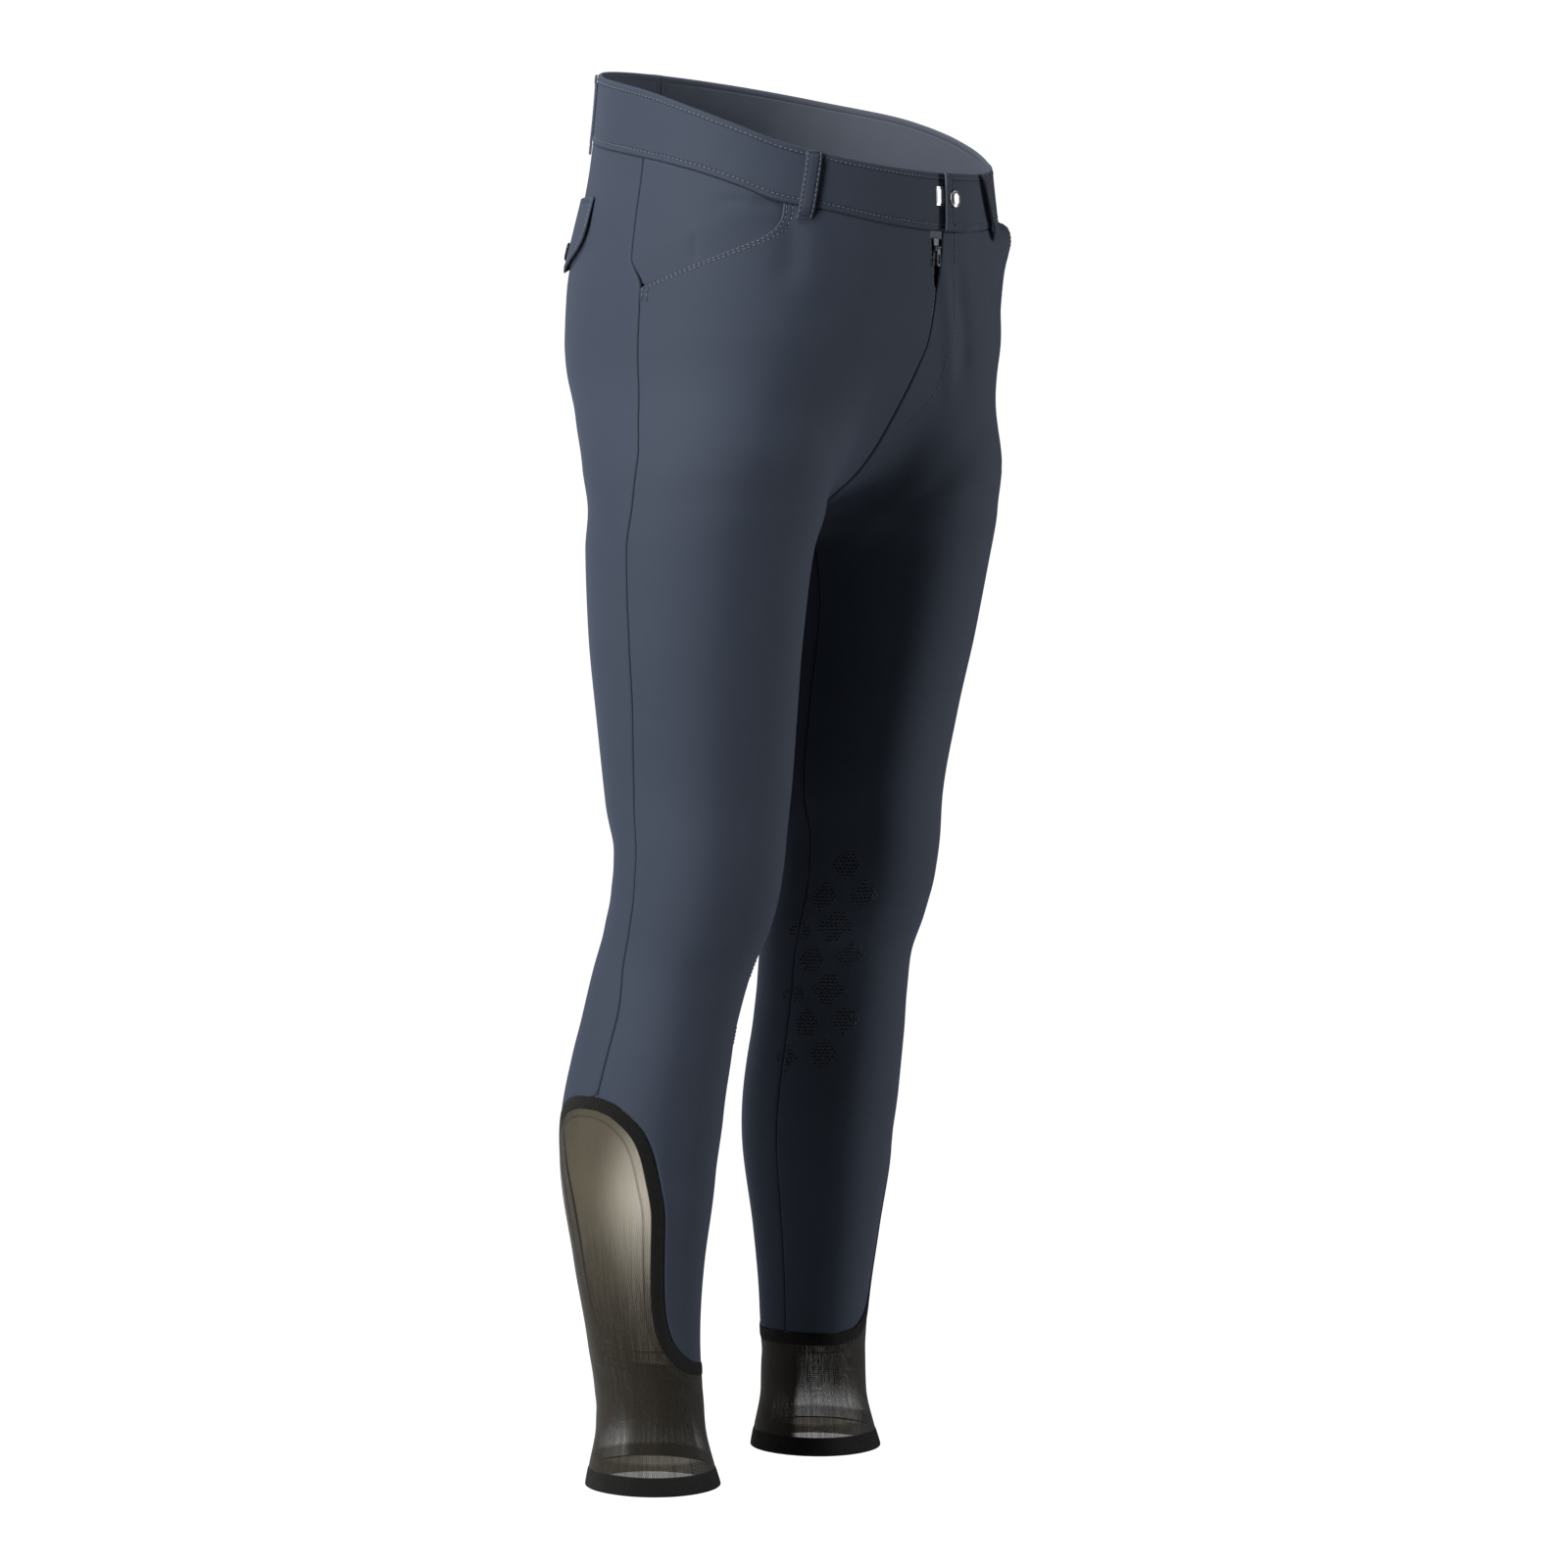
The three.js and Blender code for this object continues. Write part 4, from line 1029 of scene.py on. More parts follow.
def add(tree, kind, inputs=None, **settings):
    """A shader node with its settings, and its inputs linked or set."""
    item = tree.nodes.new("ShaderNode" + kind)
    for key, value in settings.items():
        setattr(item, key, value)
    for key, value in (inputs or {}).items():
        feed(tree, item.inputs[key], value)
    return item


def calc(tree, operation, *values, clamp=False):
    """One Math node's result."""
    return add(tree, "Math", dict(enumerate(values)), operation=operation, use_clamp=clamp).outputs[0]


def times(tree, a, b):
    """a * b."""
    return calc(tree, "MULTIPLY", a, b)


def plus(tree, base, value, share=1.0, clamp=False):
    """base + value * share, clamped to 0..1 on request."""
    return calc(tree, "MULTIPLY_ADD", value, share, base, clamp=clamp)


def noise(tree, place, scale, detail):
    """Soft noise around 0.5."""
    return add(tree, "TexNoise", {"Vector": place, "Scale": scale, "Detail": detail}).outputs[0]


def object_place(tree):
    """The place on the object, in metres."""
    return add(tree, "TexCoord").outputs["Object"]


def height_on(tree):
    """The height on the object, in metres."""
    return add(tree, "SeparateXYZ", {0: object_place(tree)}).outputs[2]


def blend_colour(tree, share, a, b):
    """Colour a to colour b by share."""
    return add(tree, "Mix", {"Factor": share, 6: a, 7: b}, data_type="RGBA").outputs[2]


def ramp(tree, value, low, high, out_low=0.0, out_high=1.0):
    """A value carried smoothly from low..high to out_low..out_high."""
    return add(tree, "MapRange", {"Value": value, "From Min": low, "From Max": high, "To Min": out_low,
                                  "To Max": out_high}, interpolation_type="SMOOTHSTEP").outputs[0]


def group(name, values, results, fill):
    """A shader node group: named inputs with their values, named outputs, filled by a function."""
    tree = bpy.data.node_groups.new(name, "ShaderNodeTree")
    for label, value in values.items():
        tree.interface.new_socket(label, in_out="INPUT", socket_type="NodeSocketFloat").default_value = value
    for label in results:
        tree.interface.new_socket(label, in_out="OUTPUT", socket_type="NodeSocketFloat")
    start = tree.nodes.new("NodeGroupInput")
    end = tree.nodes.new("NodeGroupOutput")
    for label, value in fill(tree, start.outputs).items():
        tree.links.new(value, end.inputs[label])
    return tree


def use(tree, shared, **values):
    """A group placed in a material, with its inputs named by words joined with underscores."""
    item = tree.nodes.new("ShaderNodeGroup")
    item.node_tree = shared
    for key, value in values.items():
        feed(tree, item.inputs[key.replace("_", " ")], value)
    return item.outputs


def attribute(tree, name):
    """A named value of the surface."""
    return add(tree, "Attribute", attribute_name=name).outputs["Fac"]


def cloth_map(tree):
    """The cloth's own flat coordinates in metres: the place, then across and down the cloth."""
    place = add(tree, "UVMap", uv_map="cloth").outputs[0]
    split = add(tree, "SeparateXYZ", {0: place}).outputs
    return place, split[0], split[1]


TURN = 6.2832
PUCKER_TURNS = 2026.8


def weave_fill(tree, inputs):
    """Fine twill: a sine across the diagonal, broken by a sine along it, with slow noise in tone and loft."""
    _, across_cloth, down_cloth = cloth_map(tree)
    turn = calc(tree, "DIVIDE", TURN, inputs["Thread Pitch"])
    ribs = calc(tree, "SINE", times(tree, plus(tree, across_cloth, down_cloth, 0.62), turn))
    picks = calc(tree, "SINE", times(tree, down_cloth, times(tree, turn, 1.7)))
    thread = plus(tree, times(tree, ribs, 0.6), picks, 0.4)
    place = object_place(tree)
    slow, fine, loft = (noise(tree, place, scale, detail) for scale, detail in ((9, 3), (900, 2), (55, 2)))
    tone = times(tree, calc(tree, "SUBTRACT", slow, 0.5), inputs["Slow Tone"])
    tone = plus(tree, tone, calc(tree, "SUBTRACT", fine, 0.5), inputs["Fine Tone"])
    tone = plus(tree, tone, thread, 0.05)
    height = plus(tree, times(tree, thread, 0.035), loft, inputs["Loft"])
    return {"Share": plus(tree, 0.5, tone, clamp=True), "Roughness": plus(tree, 0.74, tone, 0.25),
            "Height": height}


def pucker_fill(tree, inputs):
    """A stitched row's shallow groove: a bell of the distance from the row, puckered beside each stitch."""
    _, across_cloth, down_cloth = cloth_map(tree)
    off = calc(tree, "ABSOLUTE", calc(tree, "SUBTRACT", inputs["Distance"], inputs["Row"]))
    groove = ramp(tree, off, 0.0, 1.5, 1.0, 0.0)
    wide = ramp(tree, off, 0.0, 4.0, 1.0, 0.0)
    beads = calc(tree, "SINE", times(tree, plus(tree, across_cloth, down_cloth), PUCKER_TURNS))
    height = calc(tree, "SUBTRACT", times(tree, times(tree, beads, wide), 0.05), groove)
    return {"Height": height, "Groove": groove}


def knit_fill(tree, inputs):
    """Warp knit: upright ribs of looped thread with open places between, uneven from rib to rib."""
    place, across_cloth, down_cloth = cloth_map(tree)
    moved = plus(tree, across_cloth, noise(tree, place, 28, 2), 0.012)
    rib, loop = (calc(tree, "SINE", times(tree, along, calc(tree, "DIVIDE", TURN, inputs[pitch])))
                 for along, pitch in ((moved, "Rib Pitch"), (down_cloth, "Loop Pitch")))
    streak_place = add(tree, "Mapping", {"Vector": place, "Scale": (560.0, 26.0, 1.0)}).outputs[0]
    streak = noise(tree, streak_place, 1, 3)
    thread = plus(tree, times(tree, rib, 0.5), loop, 0.2)
    thread = plus(tree, thread, calc(tree, "SUBTRACT", streak, 0.5), 1.6)
    return {"Thread": plus(tree, 0.5, thread, 0.5, clamp=True)}


def wear_fill(tree, inputs):
    """Worn gloss: soft smudges, and fine scratches drawn out sideways."""
    place = object_place(tree)
    smudge = noise(tree, place, 260, 4)
    stretched = add(tree, "Mapping", {"Vector": place, "Scale": (1.0, 1.0, 14.0)}).outputs[0]
    scratch = noise(tree, stretched, 700, 2)
    return {"Share": smudge, "Roughness": plus(tree, inputs["Gloss"], smudge, 0.18),
            "Height": times(tree, scratch, 0.02)}


WEAVE = group("stretch_weave", {"Thread Pitch": 0.0011, "Slow Tone": 0.5, "Fine Tone": 0.4, "Loft": 0.25},
              ("Share", "Roughness", "Height"), weave_fill)
PUCKER = group("stitch_pucker", {"Distance": 0.0, "Row": 3.0}, ("Height", "Groove"), pucker_fill)
KNIT = group("warp_knit", {"Rib Pitch": 0.0013, "Loop Pitch": 0.0015}, ("Thread",), knit_fill)
WEAR = group("metal_wear", {"Gloss": 0.2}, ("Share", "Roughness", "Height"), wear_fill)


def material(name, **shader_values):
    """A material with a Principled shader, its plain values set on the shader itself."""
    made = bpy.data.materials.new(name)
    made.use_nodes = True
    tree = made.node_tree
    shader = tree.nodes["Principled BSDF"]
    for key, value in shader_values.items():
        feed(tree, shader.inputs[key.replace("_", " ")], value)
    return made, tree, shader


def surface(tree, shader, colour, rough, height, distance, strength=1.0):
    """Colour and roughness into the shader, and a Bump node from a height times a distance in metres."""
    feed(tree, shader.inputs["Base Color"], colour)
    feed(tree, shader.inputs["Roughness"], rough)
    bump = add(tree, "Bump", {"Height": height, "Strength": strength, "Distance": distance})
    tree.links.new(bump.outputs[0], shader.inputs["Normal"])


NAVY_DEEP = (0.040, 0.051, 0.077)
NAVY_LIT = (0.060, 0.076, 0.112)
# painted shade for the grooves beside stitched rows
GROOVE_PAINTED_SHADE = (0.012, 0.015, 0.024)
# painted shade for sunk seams and the facing's mouth line
SEAM_PAINTED_SHADE = (0.008, 0.010, 0.016)
# paler colour for the cloth's rims
PALE_RIM = (0.105, 0.118, 0.152)
# the reverse's lighter navy, raised further as painted light for the shaded inside
INNER_TONE_AND_PAINTED_LIGHT = (0.150, 0.170, 0.212)
# a guessed pale reverse, painted pale enough to stand in for the light seen through the sheer cuff
PALE_REVERSE_AND_PAINTED_LIGHT = (0.90, 0.85, 0.73)


def breeches_cloth(name, rows, by, painted_light_below=None):
    """The stretch cloth. rows are the stitched rows' distances in mm from the edge named by an attribute."""
    made, tree, shader = material(name, Sheen_Weight=0.22, Sheen_Roughness=0.45, Specular_IOR_Level=0.28,
                                  Sheen_Tint=(0.62, 0.72, 1.0))
    weave = use(tree, WEAVE)
    colour = blend_colour(tree, weave["Share"], NAVY_DEEP, NAVY_LIT)
    height = weave["Height"]
    distance, edge, inside = (attribute(tree, label) for label in (by, "edge", "inside"))
    for row in rows:
        pucker = use(tree, PUCKER, Distance=distance, Row=row)
        height = plus(tree, height, pucker["Height"], 0.55)
        # painted shade: each stitched row's groove is darkened in colour
        colour = blend_colour(tree, times(tree, pucker["Groove"], 0.5), colour, GROOVE_PAINTED_SHADE)
    # paler within 1.3 mm of a rim, unevenly; on panels only at the pocket mouth
    pale_rim = ramp(tree, edge, 0.1, 1.3, 0.4, 0.0)
    if by == "mouth":
        pale_rim = times(tree, pale_rim, ramp(tree, distance, 1.0, 3.0, 1.0, 0.0))
    pale_rim = times(tree, pale_rim, ramp(tree, weave["Share"], 0.3, 0.7, 0.4, 1.0))
    colour = blend_colour(tree, pale_rim, colour, PALE_RIM)
    # painted shade: darker where the 'sewn' distance is under 1.4, in sunk seams and along the pocket mouth line
    colour = blend_colour(tree, ramp(tree, attribute(tree, "sewn"), 0.2, 1.4, 0.6, 0.0), colour, SEAM_PAINTED_SHADE)
    # inner faces: a lighter reverse, partly the cloth's own tone and partly painted light lifting the shaded
    # inside of the waist
    colour = blend_colour(tree, times(tree, inside, 0.8), colour, INNER_TONE_AND_PAINTED_LIGHT)
    # below the knee the inner face is painted pale: a guessed pale reverse standing in for the bright inside seen
    # through the sheer cuff, kept off the rims
    if painted_light_below:
        low, high = painted_light_below - 0.05, painted_light_below + 0.05
        pale = times(tree, inside, ramp(tree, height_on(tree), low, high, 1.0, 0.0))
        colour = blend_colour(tree, times(tree, pale, ramp(tree, edge, 1.2, 2.4)), colour, PALE_REVERSE_AND_PAINTED_LIGHT)
    surface(tree, shader, colour, weave["Roughness"], height, 0.0006)
    return made


def sheer_mesh():
    """The sheer knit: dark thread, open between its ribs, more open where the calf stretches it.

    It is more opaque, and so darker, low at the inner back of the ankle, and threads close up where the net is
    seen at a slant.
    """
    made, tree, shader = material("sheer_mesh", Sheen_Weight=0.25, Sheen_Roughness=0.5, Specular_IOR_Level=0.2)
    thread = use(tree, KNIT)["Thread"]
    up, edge = height_on(tree), attribute(tree, "edge")
    _, round_leg, _ = cloth_map(tree)
    cover = ramp(tree, up, -0.885, -0.735, 0.68, 0.05)
    cover = times(tree, cover, ramp(tree, up, -0.940, -0.912, 0.55, 1.0))
    cover = times(tree, cover, ramp(tree, thread, 0.15, 0.85, 0.62, 1.4))
    allowance = ramp(tree, edge, 4.4, 5.0, 1.0, 0.0)
    turned_edge = ramp(tree, calc(tree, "ABSOLUTE", calc(tree, "SUBTRACT", edge, 5.3)), 0.3, 1.0, 1.0, 0.0)
    dense_back = ramp(tree, round_leg, -0.144, -0.134, 1.0, 0.0)
    dense_back = times(tree, dense_back, ramp(tree, round_leg, -0.206, -0.194))
    dense_back = times(tree, dense_back, ramp(tree, up, -0.86, -0.84, 0.4, 0.0))
    turned_hem = ramp(tree, up, -0.9485, -0.9450, 0.24, 0.0)
    for added, share in ((allowance, 0.05), (turned_edge, 0.22), (dense_back, 1.0), (turned_hem, 1.0)):
        cover = plus(tree, cover, added, share)
    slant = calc(tree, "POWER", add(tree, "LayerWeight", {"Blend": 0.5}).outputs["Facing"], 2.4)
    feed(tree, shader.inputs["Alpha"], plus(tree, cover, slant, 0.85, clamp=True))
    colour = blend_colour(tree, thread, (0.052, 0.043, 0.027), (0.016, 0.014, 0.011))
    surface(tree, shader, colour, 0.75, thread, 0.0003, 0.6)
    return made


def black_rib():
    """The elastic binding and hem: near-black ribbed knit with a dusty bloom; its inner face is a guessed pale
    reverse, painted pale enough to stand in for light seen through the mesh.
    """
    made, tree, shader = material("black_rib", Sheen_Weight=0.1, Sheen_Roughness=0.5, Specular_IOR_Level=0.15)
    thread = use(tree, KNIT, Rib_Pitch=0.0012, Loop_Pitch=0.0009)["Thread"]
    slow = use(tree, WEAVE, Thread_Pitch=0.002, Slow_Tone=0.7)
    colour = blend_colour(tree, thread, (0.006, 0.006, 0.006), (0.013, 0.013, 0.0125))
    colour = blend_colour(tree, times(tree, slow["Share"], 0.25), colour, (0.018, 0.018, 0.016))
    # painted light: the binding's inner face turns pale away from its rims
    painted_pale_inside = times(tree, attribute(tree, "inside"), ramp(tree, attribute(tree, "edge"), 0.4, 1.0))
    surface(tree, shader, blend_colour(tree, painted_pale_inside, colour, PALE_REVERSE_AND_PAINTED_LIGHT), slow["Roughness"], thread, 0.0005)
    return made


def spun_thread():
    """Sewing thread: a shade apart from the cloth, with the twist's fine bands and a slight gloss."""
    made, tree, shader = material("spun_thread", Specular_IOR_Level=0.4, Sheen_Weight=0.2)
    twist = noise(tree, object_place(tree), 1500, 2)
    colour = blend_colour(tree, twist, (0.085, 0.095, 0.125), (0.25, 0.27, 0.32))
    surface(tree, shader, colour, plus(tree, 0.4, twist, 0.25), twist, 0.0002)
    return made


def hard_finish(name, dark, light, gloss, bump, **shader_values):
    """Plated metal, plastic or silicone: a tone between two, dulled by smudges and fine scratches."""
    made, tree, shader = material(name, **shader_values)
    wear = use(tree, WEAR, Gloss=gloss)
    colour = blend_colour(tree, wear["Share"], dark, light)
    surface(tree, shader, colour, wear["Roughness"], wear["Height"], bump)
    return made


def woven_tape():
    """The zip's tape: a close herringbone of dark yarn."""
    made, tree, shader = material("woven_tape", Sheen_Weight=0.2, Specular_IOR_Level=0.2)
    weave = use(tree, WEAVE, Thread_Pitch=0.0009, Slow_Tone=0.3)
    colour = blend_colour(tree, weave["Share"], (0.006, 0.007, 0.011), (0.016, 0.018, 0.026))
    surface(tree, shader, colour, weave["Roughness"], weave["Height"], 0.0008)
    return made


# Materials.
METAL = {"bump": 0.0004, "Metallic": 1.0}
MOULDED = {"bump": 0.0003, "Coat_Roughness": 0.12}
PANEL_CLOTH = breeches_cloth("panel_cloth", MOUTH_ROWS, "mouth", painted_light_below=-0.63)
FACING_CLOTH = breeches_cloth("facing_cloth", (), "edge")
BAND_CLOTH = breeches_cloth("band_cloth", (BAND_ROW,), "edge")
LOOP_CLOTH = breeches_cloth("loop_cloth", (LOOP_ROW,), "edge")
FLAP_CLOTH = breeches_cloth("flap_cloth", (FLAP_ROW,), "edge")
SHEER = sheer_mesh()
BLACK_RIB = black_rib()
THREAD = spun_thread()
BRIGHT = hard_finish("bright_nickel", (0.38, 0.38, 0.38), (0.54, 0.54, 0.53), 0.22, **METAL)
DULL = hard_finish("dark_nickel", (0.030, 0.034, 0.042), (0.085, 0.095, 0.11), 0.34, **METAL)
SNAP_DARK = hard_finish("snap_enamel", (0.010, 0.012, 0.017), (0.020, 0.023, 0.030), 0.22, Coat_Weight=0.4,
                        **MOULDED)
TEETH_BLUE = hard_finish("zip_nylon", (0.010, 0.014, 0.024), (0.022, 0.030, 0.046), 0.25, Coat_Weight=0.0,
                         **MOULDED)
GRIP = hard_finish("grip_silicone", (0.0025, 0.003, 0.0035), (0.007, 0.008, 0.009), 0.10, Coat_Weight=0.5,
                   **MOULDED)
TAPE = woven_tape()

# The cloth, piece by piece.
front_right_grid, front_rows = leg_panel("front_right", False, False, 8.6, 1.2, CREASES_RIGHT)
front_left_grid, _ = leg_panel("front_left", False, True, 4.8, 10.5, CREASES_LEFT)
back_right_grid, _ = leg_panel("back_right", True, False, 0.2, 0, CREASES_RIGHT)
back_left_grid, _ = leg_panel("back_left", True, True, 0.2, 0, CREASES_LEFT)
facing("pocket_facing_right", False, CREASES_RIGHT)
facing("pocket_facing_left", True, CREASES_LEFT)
band_right_grid = waistband("waistband_right", False)
band_left_grid = waistband("waistband_left", True)
LOOPS = [
    ("belt_loop_front_right", side_loop(112.3, 114.6), False, 0, 2.2),
    ("belt_loop_front_left", side_loop(89.5, 97), True, 0.6, 2.2),
    ("belt_loop_back_right", side_loop(240.5, 241.5), False, 0, 0.15),
    ("belt_loop_back_left", side_loop(243, 243), True, 0, 1.3),
    ("belt_loop_centre_back", back_loop, False, 0, 1.7),
]
loop_grids = [(belt_loop(*row), row[2]) for row in LOOPS]
for side, mirrored in (("right", False), ("left", True)):
    flap_grid = flap("pocket_flap_" + side, mirrored)
    mesh_cuff("mesh_cuff_" + side, mirrored)
    binding("cuff_binding_" + side, mirrored)
    hem_band("hem_band_" + side, mirrored)
    down, below, back_up = (inset_line(flap_grid, edge, FLAP_ROW) for edge in ("first", "bottom", "last"))
    sew("flap_stitches_" + side, [np.vstack([down[3:-2], below[3:-3], back_up[3:-2][::-1]])], mirrored)

# Stitched rows.
mouth_rows = front_rows < 6.35


def mouth_lines(grid):
    """The two rows of stitches beside a pocket's mouth."""
    return [inset_line(grid, "last", d)[mouth_rows][2:] for d in MOUTH_ROWS]


fly_rows = (front_rows > 0.1) & (front_rows < 3.9)
fly_edge = inset_line(front_right_grid, "first", 2.6)[fly_rows]
sew("front_stitches_right", mouth_lines(front_right_grid) + [fly_edge])
# x, z of the fly's curved row of stitches on the left front
FLY_CURVE = [(-20, -72), (-20.5, -90), (-22, -107), (-26, -135), (-31, -162), (-34, -178), (-31.5, -190),
             (-22, -204), (-10, -214), (-3, -220)]
fly_z = np.array([z for _, z in FLY_CURVE], float)
fly_t = np.concatenate([[0], np.cumsum(np.hypot(np.diff([x for x, _ in FLY_CURVE]), np.diff(fly_z)))])
fly_x, fly_z = curve([(t, x, z) for t, (x, z) in zip(fly_t, FLY_CURVE)], np.linspace(0, fly_t[-1], 90))
fly_line = laid(across(fly_x, fly_z, -1), front_left_grid)
sew("front_stitches_left", mouth_lines(front_left_grid) + [fly_line], True)
for side, grid, mirrored in (("right", band_right_grid, False), ("left", band_left_grid, True)):
    rows = [inset_line(grid, "top", BAND_ROW)[6:-3], inset_line(grid, "bottom", 5.4)[6:-3]]
    if mirrored:
        rows.append(inset_line(grid, "first", BAND_ROW)[4:-4])
    sew("band_stitches_" + side, rows, mirrored)
for (name, *_), (grid, mirrored) in zip(LOOPS, loop_grids):
    rows = [inset_line(grid, edge, LOOP_ROW)[2:-2] for edge in ("first", "last")]
    sew(name.replace("loop", "loop_stitches"), rows, mirrored)

# Zip.
ZIP_X = -2.5
ZIP_DEPTH = -2.6
SLIDER_Z = -80.4
zip_face = float(across(ZIP_X, SLIDER_Z, -1)[1]) - ZIP_DEPTH
tape_z = -76 - steps(114, 1.6, (0.0, 0.3, 0.8))
tape_x = steps(18, 1.2, (0.0, 0.2, 0.5)) - 9
tape_base = across(tape_x[None] + ZIP_X * 0.6 + 0 * tape_z[:, None], tape_z[:, None] + 0 * tape_x, -1)
tape_ribs = 0.12 * np.cos(tape_x * 2.4)[None] + 0 * tape_z[:, None]
shell("zip_tape_cloth", tape_base, ZIP_DEPTH + np.minimum(tape_ribs, 0), 1.1, TAPE, replaces=["zip_tape"],
      slot="zip")
tooth = [(0, -0.95), (0.34, -0.9), (0.44, -0.55), (0.3, -0.1), (0.42, 0.35), (0.4, 0.75), (0, 0.95)]
tooth_shape, tooth_faces = turned(tooth, 6)
tooth_z = np.arange(-77.6, -188, -0.68)
tooth_side = np.where(np.arange(len(tooth_z)) % 2, 1.0, -1.0)
spread = 0.55 + 1.1 * smooth((tooth_z + 86) / 9)
tooth_at = across(ZIP_X * 0.85 + tooth_side * spread, tooth_z, -1)
tooth_up = normals(tooth_at)
tooth_along = np.cross([0, 0, 1.0], tooth_up) * tooth_side[:, None]
many("zip_teeth", tooth_shape[:, [2, 0, 1]], tooth_faces, tooth_at + tooth_up * (ZIP_DEPTH + 0.42), tooth_along,
     tooth_up, TEETH_BLUE, slot="zip")
slider_y = zip_face - 0.3
slider_body = block((6.4, 2.3, 9.4), 6, taper=0.14)
slider_lug = block((0.8, 2.9, 2.6), 4, 20, 9)
slider_parts = [(slider_body[0] + [ZIP_X, slider_y - 1.15, SLIDER_Z], slider_body[1])]
for side in (-1, 1):
    lug_at = [ZIP_X + side * 2.35, slider_y - 3.35, -82.6]
    slider_parts.append((slider_lug[0] + lug_at, slider_lug[1]))
points, faces = joined(slider_parts)
piece("zip_slider_body", points, faces, DULL, replaces=["zip_slider"], slot="metal")
PIVOT = np.array([ZIP_X, slider_y - 4.3, -82.6])
round_a = np.arange(72) / 72 * 2 * np.pi


def stadium(width, top, bottom):
    """An outline with round ends: half circles of the width, from top to bottom, across and up."""
    r = width / 2
    x, up = r * np.cos(round_a), r * np.sin(round_a)
    return np.stack([x, np.where(np.sin(round_a) >= 0, top - r + up, bottom + r + up)], -1)


tab_points, tab_faces = ring_plate(stadium(3.4, 0.9, -13.6), stadium(1.5, -5.6, -11.6), 1.05, 0.35)
tab_points = tab_points[:, [0, 2, 1]]
barrel = turned([(0, -1.7), (0.85, -1.68), (1.05, -1.5), (1.1, -1.2), (1.1, 1.2), (1.05, 1.5), (0.85, 1.68),
                 (0, 1.7)], 24)
pin = turned([(0, -1.8), (0.5, -1.79), (0.6, -1.7), (0.6, 1.7), (0.5, 1.79), (0, 1.8)], 16)
points, faces = joined([(tab_points, tab_faces), (barrel[0][:, [2, 0, 1]], barrel[1]),
                        (pin[0][:, [2, 0, 1]], pin[1])])
piece("zip_tab", points + PIVOT, faces, DULL, body="pull_tab", replaces=["zip_pull_tab"], slot="metal")

# Hook, cap and snaps.
hook_z = -39.5 - steps(14, 0.7, (0.0, 0.12, 0.3, 0.55))
hook_x = steps(12.6, 0.7, (0.0, 0.12, 0.3, 0.55)) - 3.6
hook_base = across(hook_x[None] + 0 * hook_z[:, None], hook_z[:, None] + 0 * hook_x, -1)
hook_press = -0.3 * smooth((np.abs(hook_z + 46.5) - 4.6) / 0.8)[:, None] + 0 * hook_x
shell("hook_plate", hook_base, BAND_LIFT + 1.2 + hook_press, 1.1, BRIGHT, held=None, replaces=["waist_hook"],
      slot="metal")
cap_at = across(13, -48, -1)
cap_up = normals(cap_at)
CAP = [(0, 0), (5.9, 0), (6.2, 0.25), (6.3, 0.6), (6.15, 0.95), (5.7, 1.15), (5.2, 1.2), (4.9, 1.35), (4.2, 1.66),
       (3.2, 1.88), (1.8, 1.98), (0, 2.0)]
points, faces = turned(CAP, 48)
piece("cap_dome", stand_on(points, cap_at + cap_up * (LAP_LIFT + 0.45), cap_up), faces, BRIGHT,
      replaces=["snap_cap"], slot="metal")
SNAP = [(0, 0), (6.2, 0), (6.55, 0.3), (6.6, 0.7), (6.4, 1.15), (5.9, 1.4), (5.2, 1.42), (4.7, 1.2), (4.3, 1.18),
        (3.4, 1.5), (2.0, 1.72), (0, 1.8)]
snap_at = cast(FLAP_CENTRE, -83)
snap_up = normals(snap_at)
points, faces = turned(SNAP, 48)
points = stand_on(points, snap_at + snap_up * (flap_height(38 / 53) + 0.5), snap_up)
for side, mirrored in (("right", False), ("left", True)):
    piece("snap_" + side, points, faces, SNAP_DARK, replaces=["flap_snap_" + side], mirror=mirrored, slot="snap")

# Knee grips.
# direction and z of a patch's middle, half width and half height of its lozenge in mm
GRIP_PATCHES = [
    (31, -526, 12, 13),
    (46, -548, 11, 12),
    (17, -550, 11, 12),
    (32, -572, 13, 14),
    (3, -576, 10, 12),
    (48, -594, 11, 12),
    (18, -598, 12, 13),
    (34, -620, 13, 14),
    (3, -624, 10, 12),
    (49, -642, 11, 12),
    (19, -646, 12, 13),
    (35, -668, 12, 13),
    (5, -672, 10, 11),
]
DOT = [(0, -0.3), (0.8, -0.28), (1.0, 0.0), (0.9, 0.3), (0.5, 0.5), (0, 0.56)]
DOT_PITCH = 3.0
INSEAM_CLEAR = 2.6


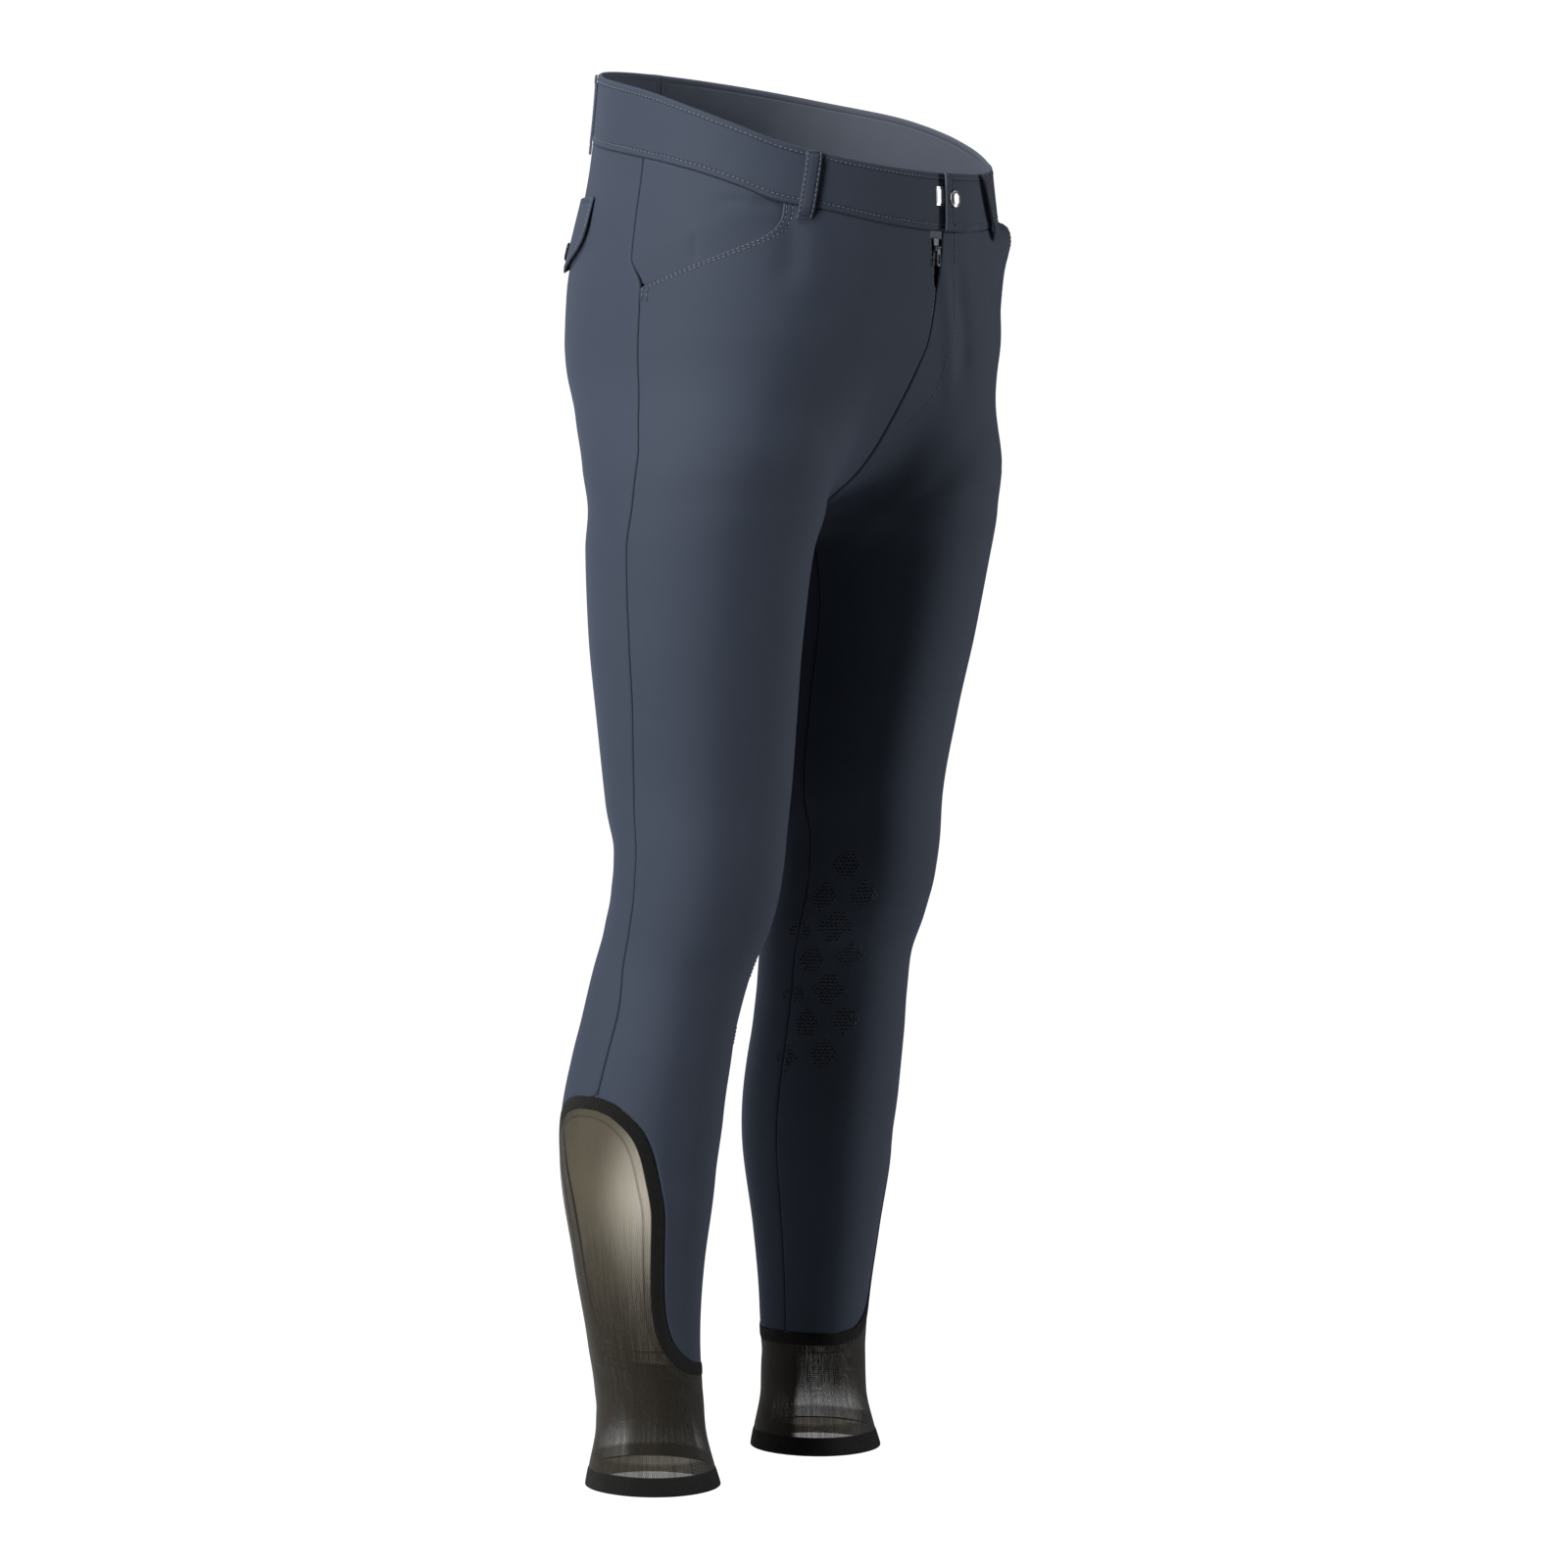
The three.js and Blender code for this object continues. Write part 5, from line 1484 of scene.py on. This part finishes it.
def grips(name, mirror, grids):
    """Raised dots in lozenge patches round the inside of the knee, in staggered rows, clear of the inseam."""
    shape, faces = turned(DOT, 8)
    places = []
    for turn, z, half_wide, half_tall in GRIP_PATCHES:
        _, _, a, b = curve(LEG, z)
        radius = float(a + b) / 2
        i, j = np.meshgrid(np.arange(-12, 13), np.arange(-12, 13), indexing="ij")
        x = (j + 0.5 * (i % 2)) * DOT_PITCH
        y = i * DOT_PITCH * 0.866
        keep = np.abs(x) / half_wide + np.abs(y) / half_tall < 1
        places.append(np.stack([turn + np.degrees(x[keep] / radius), z + y[keep]], -1))
    places = np.vstack(places)
    _, _, a, b = curve(LEG, places[:, 1])
    off_seam = np.abs(np.radians(places[:, 0] - 2)) * (a + b) / 2
    places = places[off_seam > INSEAM_CLEAR]
    base = cast(places[:, 0], places[:, 1])
    up = normals(base)
    at = laid(base, *grids)
    along = unit(np.cross(up, [0, 0, 1.0]))
    many(name, shape, faces, at, along, up, GRIP, mirror=mirror, slot="trim")


grips("grip_dots_right", False, (front_right_grid, back_right_grid))
grips("grip_dots_left", True, (front_left_grid, back_left_grid))

# Floor, backdrop and light.
FLOOR_Z = -1.25


def studio():
    """A pale floor that curves up behind the breeches into a backdrop, white to the camera."""
    run = np.concatenate([np.linspace(-9, 5, 30), 5 + 2.5 * np.sin(np.linspace(0.1, np.pi / 2, 24))])
    rise = np.concatenate([np.zeros(30), 2.5 * (1 - np.cos(np.linspace(0.1, np.pi / 2, 24)))])
    run, rise = np.append(run, 7.5), np.append(rise, 9.0)
    away = -direction_to(CAMERA_AZIMUTH, 0)
    right = np.array([-away[1], away[0], 0])
    wide = np.linspace(-12, 12, 7)
    points = (run[:, None, None] * away + wide[None, :, None] * right)
    points[..., 2] = FLOOR_Z + rise[:, None]
    made, tree, shader = material("pale_floor", Specular_IOR_Level=0.1, Roughness=0.9)
    soft = noise(tree, object_place(tree), 0.6, 2)
    feed(tree, shader.inputs["Base Color"], blend_colour(tree, soft, (0.36, 0.36, 0.36), (0.38, 0.38, 0.38)))
    feed(tree, shader.inputs["Emission Strength"], add(tree, "LightPath").outputs["Is Camera Ray"])
    feed(tree, shader.inputs["Emission Color"], (1, 1, 1))
    index = np.arange(points.shape[0] * points.shape[1]).reshape(points.shape[:2])
    faces = quads(index)[:, ::-1]
    floor = linked("studio_floor", smooth_mesh("studio_floor", points.reshape(-1, 3), faces, made))


def lamp(name, azimuth, elevation, distance, size, watts, colour=(1, 1, 1)):
    """A soft square lamp that looks at the middle of the breeches."""
    data = bpy.data.lights.new(name, "AREA")
    data.shape = "RECTANGLE"
    data.size, data.size_y = size
    data.energy = watts
    data.color = colour
    look_in(linked(name, data), azimuth, elevation, distance)


studio()
lamp("key_lamp", -92, 12, 2.8, (0.8, 2.4), 62, (1.0, 0.99, 0.98))
lamp("far_lamp", 52, 6, 3.0, (0.6, 2.2), 36, (0.95, 0.97, 1.0))
lamp("top_lamp", -100, 60, 2.4, (0.8, 0.8), 26)
lamp("back_lamp", 170, 30, 3.2, (1.6, 1.6), 7)
world = bpy.data.worlds.new("white_room")
world.use_nodes = True
sky = world.node_tree
sky_light = add(sky, "LightPath").outputs["Is Camera Ray"]
sky.links.new(ramp(sky, sky_light, 0.0, 1.0, 0.012, 1.0), sky.nodes["Background"].inputs[1])
sky.nodes["Background"].inputs[0].default_value = (1, 1, 1, 1)
bpy.context.scene.world = world
bpy.context.scene.view_settings.view_transform = "Standard"
bpy.context.scene.view_settings.look = "None"
